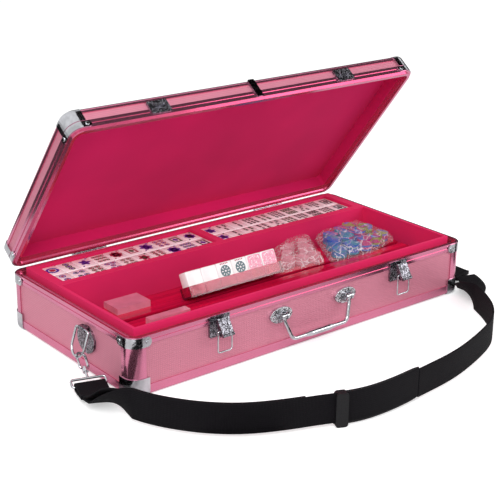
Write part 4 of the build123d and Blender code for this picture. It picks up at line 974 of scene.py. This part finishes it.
class CASE_OT_strap(bpy.types.Operator):
    """Shoulder strap: webbing, its return strand, the end loops, the pad and the slider"""
    bl_idname = "mahjong_case.strap"
    bl_label = "Strap"

    def execute(self, context):
        look = context.scene.strap_settings
        cloth = woven_webbing("woven_webbing", look.webbing)
        dress(grained_leathercloth("moulded_slider", look.pad), "tri_glide")
        line = strap_line()
        full = run_of(line)[-1]
        run, centre, beside = along_strap(line, 0, full, 420)
        lean, right = lean_along(run, full), run < full / 2
        centre[:, 2] = np.where(right, height_from_right(look, lean, run), height_to_left(look, lean))
        across, through = leaning(lean, np.where(right, -1.0, 1.0)[:, None] * beside)
        webbing = webbing_band("webbing", look, centre, across, through, cloth, "root")
        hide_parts("strap_webbing")

        returned = self.return_strand(look, line, full, cloth)
        pad = self.pad(look, line)
        loops = [self.loop(look, label, cloth) for label in ("left", "right")]
        return {"FINISHED"}

    def return_strand(self, look, line, full, cloth):
        """The doubled end of the webbing, from the slider to the left hook, on the inner side."""
        run, centre, beside = along_strap(line, SLIDER_RUN, full - MM, 150)
        lean = lean_along(run, full)
        across, through = leaning(lean, beside)
        parting = np.sin(np.pi * np.clip((run - (full - PARTED)) / PARTED, 0, 1))
        centre[:, 2] = height_to_left(look, lean)
        centre += through * (look.thickness + STRAND_GAP + PARTED_GAP * parting)[:, None]
        piece = webbing_band("return_strand", look, centre, across, through, cloth, "root")
        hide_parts("strap_return")
        return piece

    def pad(self, look, line):
        """Stuffed pad: the band's profile swells in the middle and pulls in at its two sewn ends, and
        two sewn channels run along it."""
        _, centre, beside = along_strap(line, *PAD_RUN, 90)
        swell = 1 - np.abs(np.linspace(-1, 1, len(centre))[:, None]) ** 10
        v = np.linspace(0, 2 * np.pi, 72, endpoint=False)[None]
        w, d = signed_power(np.cos(v), 0.35), signed_power(np.sin(v), 0.7)
        seams = 1 - 0.3 * np.exp(-((np.abs(w) - 0.72) / 0.05) ** 2)
        width = (look.pad_width / 2 - 0.3 * MM) * (0.94 + 0.06 * swell) * w
        depth = look.pad_thickness / 2 * (0.45 + 0.55 * swell) * d * seams
        outward = -beside[:, None]
        offset = (look.thickness + look.pad_thickness) / 2 + STRAND_GAP
        surface = centre[:, None] + outward * (offset + depth)[..., None]
        surface[..., 2] = look.pad_width / 2 + width
        leather = grained_leathercloth("grained_leathercloth", look.pad)
        piece = new_piece("pad", surface, tube_faces(*surface.shape[:2]), leather, "root")
        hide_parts("shoulder_pad")
        return piece

    def loop(self, look, label, cloth):
        """Webbing turned round the eye: a half turn about its bar, then two strands that close along
        a smooth step towards the strap."""
        tail = unit(np.array([*HOOK_LINES[label], 0.0]))
        turn = np.linspace(np.pi / 2, 3 * np.pi / 2, 24)
        wrap = LOOP_RADIUS * np.stack([np.cos(turn), np.sin(turn)], axis=1)
        share = np.linspace(0, 1, 20)[1:]
        closing = LOOP_RADIUS + (LOOP_REST - LOOP_RADIUS) * smooth_step(share)
        upper = np.stack([LOOP_RUN * share, closing], axis=1)
        flat = np.concatenate([upper[::-1], wrap, upper * np.array([1, -1])])
        centre = np.array(EYES[label]) + (EYE_PLAY + flat[:, :1]) * tail + flat[:, 1:] * UP
        ahead = unit(np.gradient(flat, axis=0))
        through = ahead[:, :1] * UP - ahead[:, 1:] * tail
        across = np.tile(np.cross(UP, tail), (len(flat), 1))
        end = np.sqrt(np.clip(LOOP_REACH ** 2 - (flat[:, 0] + EYE_PLAY) ** 2, 0, None)) + LOOP_END
        width = 2 * np.minimum(look.width / 2, end)
        body = f"eye_{label}"
        piece = webbing_band(f"loop_{label}", look, centre, across, through, cloth, body, width)
        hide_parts(f"strap_loop_{label}")
        return piece


# ---------------------------------------------------------------- stage

class CASE_OT_stage(bpy.types.Operator):
    """Camera, floor and soft light"""
    bl_idname = "mahjong_case.stage"
    bl_label = "Stage"

    def execute(self, context):
        look = context.scene.stage_settings
        self.camera(context)
        self.floor(look)
        self.world(context)
        for name, (place, size) in LAMPS.items():
            self.lamp(name, place, getattr(look, name), size)
        for name, corners in CARDS.items():
            self.card(name, *map(np.array, corners))
        context.scene.view_settings.view_transform = "Standard"
        return {"FINISHED"}

    def camera(self, context):
        """Camera at the front left, looking down on the open case."""
        level = math.cos(CAMERA_RAISED)
        back = np.array([
            math.sin(CAMERA_TURN) * level, -math.cos(CAMERA_TURN) * level, math.sin(CAMERA_RAISED),
        ])
        lens = bpy.data.cameras.new("camera")
        lens.lens, lens.sensor_width, lens.clip_end = CAMERA_LENS, 36.0, 50.0
        context.scene.camera = stand("camera", lens, back, CAMERA_PLACE, CAMERA_ROLL)

    def floor(self, look):
        """Pale floor: white to the camera, with the shadow of the case on it."""
        material, tree, shader = new_material("floor", look.floor, 0.9, Specular_IOR_Level=0.0)
        seen = add(tree, "ShaderNodeLightPath").outputs["Is Camera Ray"]
        shader.inputs["Emission Color"].default_value = (1, 1, 1, 1)
        lit = add(tree, "ShaderNodeMath", {0: seen, 1: FLOOR_GLOW}, operation="MULTIPLY")
        tree.links.new(lit.outputs[0], shader.inputs["Emission Strength"])
        x, y = np.meshgrid(np.linspace(-8, 8, 9), np.linspace(-8, 8, 9), indexing="ij")
        points = np.stack([x, y, np.full_like(x, -0.2 * MM)], axis=-1)
        floor = show("floor", new_mesh("floor", points, grid_faces(9, 9)[:, ::-1], material))

    def world(self, context):
        """White surroundings to the camera, to metal and to glass, and softer light on the object."""
        world = bpy.data.worlds.new("surroundings")
        world.use_nodes = True
        tree = world.node_tree
        tree.nodes.clear()
        path = add(tree, "ShaderNodeLightPath")
        rays = ("Is Camera Ray", "Is Glossy Ray", "Is Transmission Ray")
        seen = total(tree, *[path.outputs[ray] for ray in rays])
        strength = add(
            tree, "ShaderNodeMapRange", {"Value": seen, "To Min": WORLD_GLOW, "To Max": 1.0}, clamp=True
        ).outputs[0]
        light = add(tree, "ShaderNodeBackground", {"Color": (1, 1, 1, 1), "Strength": strength})
        add(tree, "ShaderNodeOutputWorld", {"Surface": light.outputs[0]})
        context.scene.world = world

    def lamp(self, name, place, power, size):
        """A square area lamp that faces the case."""
        light = bpy.data.lights.new(name, "AREA")
        light.energy, light.size = power, size
        stand(name, light, unit(np.array(place)), place)

    def card(self, name, place, side, up):
        """A dark card that only polished metal reflects, so that it reads as metal."""
        material = new_material(name, srgb("#1A1216"), 1.0, Specular_IOR_Level=0.0)[0]
        corners = [place + side * i + up * j for i, j in ((-1, -1), (1, -1), (1, 1), (-1, 1))]
        card = show(name, new_mesh(name, corners, [[0, 1, 2, 3]], material))
        for ray in ("camera", "diffuse", "shadow", "transmission"):
            setattr(card, f"visible_{ray}", False)


class CASE_PT_panel(bpy.types.Panel):
    """Buttons for the pieces of the case"""
    bl_idname = "CASE_PT_panel"
    bl_label = "Mahjong case"
    bl_space_type = "VIEW_3D"
    bl_region_type = "UI"
    bl_category = "Mahjong case"

    def draw(self, context):
        for operator in OPERATORS:
            self.layout.operator(operator.bl_idname)


GROUPS = {
    "case_finishes": CaseFinishes, "tile_settings": TileSettings,
    "strap_settings": StrapSettings, "stage_settings": StageSettings,
}
OPERATORS = [
    CASE_OT_stage, CASE_OT_strap, CASE_OT_shell, CASE_OT_fittings, CASE_OT_tiles, CASE_OT_spares,
    CASE_OT_bags,
]


def register():
    for group in (*GROUPS.values(), *OPERATORS, CASE_PT_panel):
        bpy.utils.register_class(group)
    for name, group in GROUPS.items():
        setattr(bpy.types.Scene, name, PointerProperty(type=group))


def unregister():
    for name in GROUPS:
        delattr(bpy.types.Scene, name)
    for group in (CASE_PT_panel, *reversed(OPERATORS), *reversed(list(GROUPS.values()))):
        bpy.utils.unregister_class(group)


def main():
    register()
    bpy.ops.mahjong_case.stage()
    bpy.ops.mahjong_case.strap()
    bpy.ops.mahjong_case.shell()
    bpy.ops.mahjong_case.fittings()
    bpy.ops.mahjong_case.tiles()
    bpy.ops.mahjong_case.spares()
    bpy.ops.mahjong_case.bags()


if __name__ == "__main__":
    main()
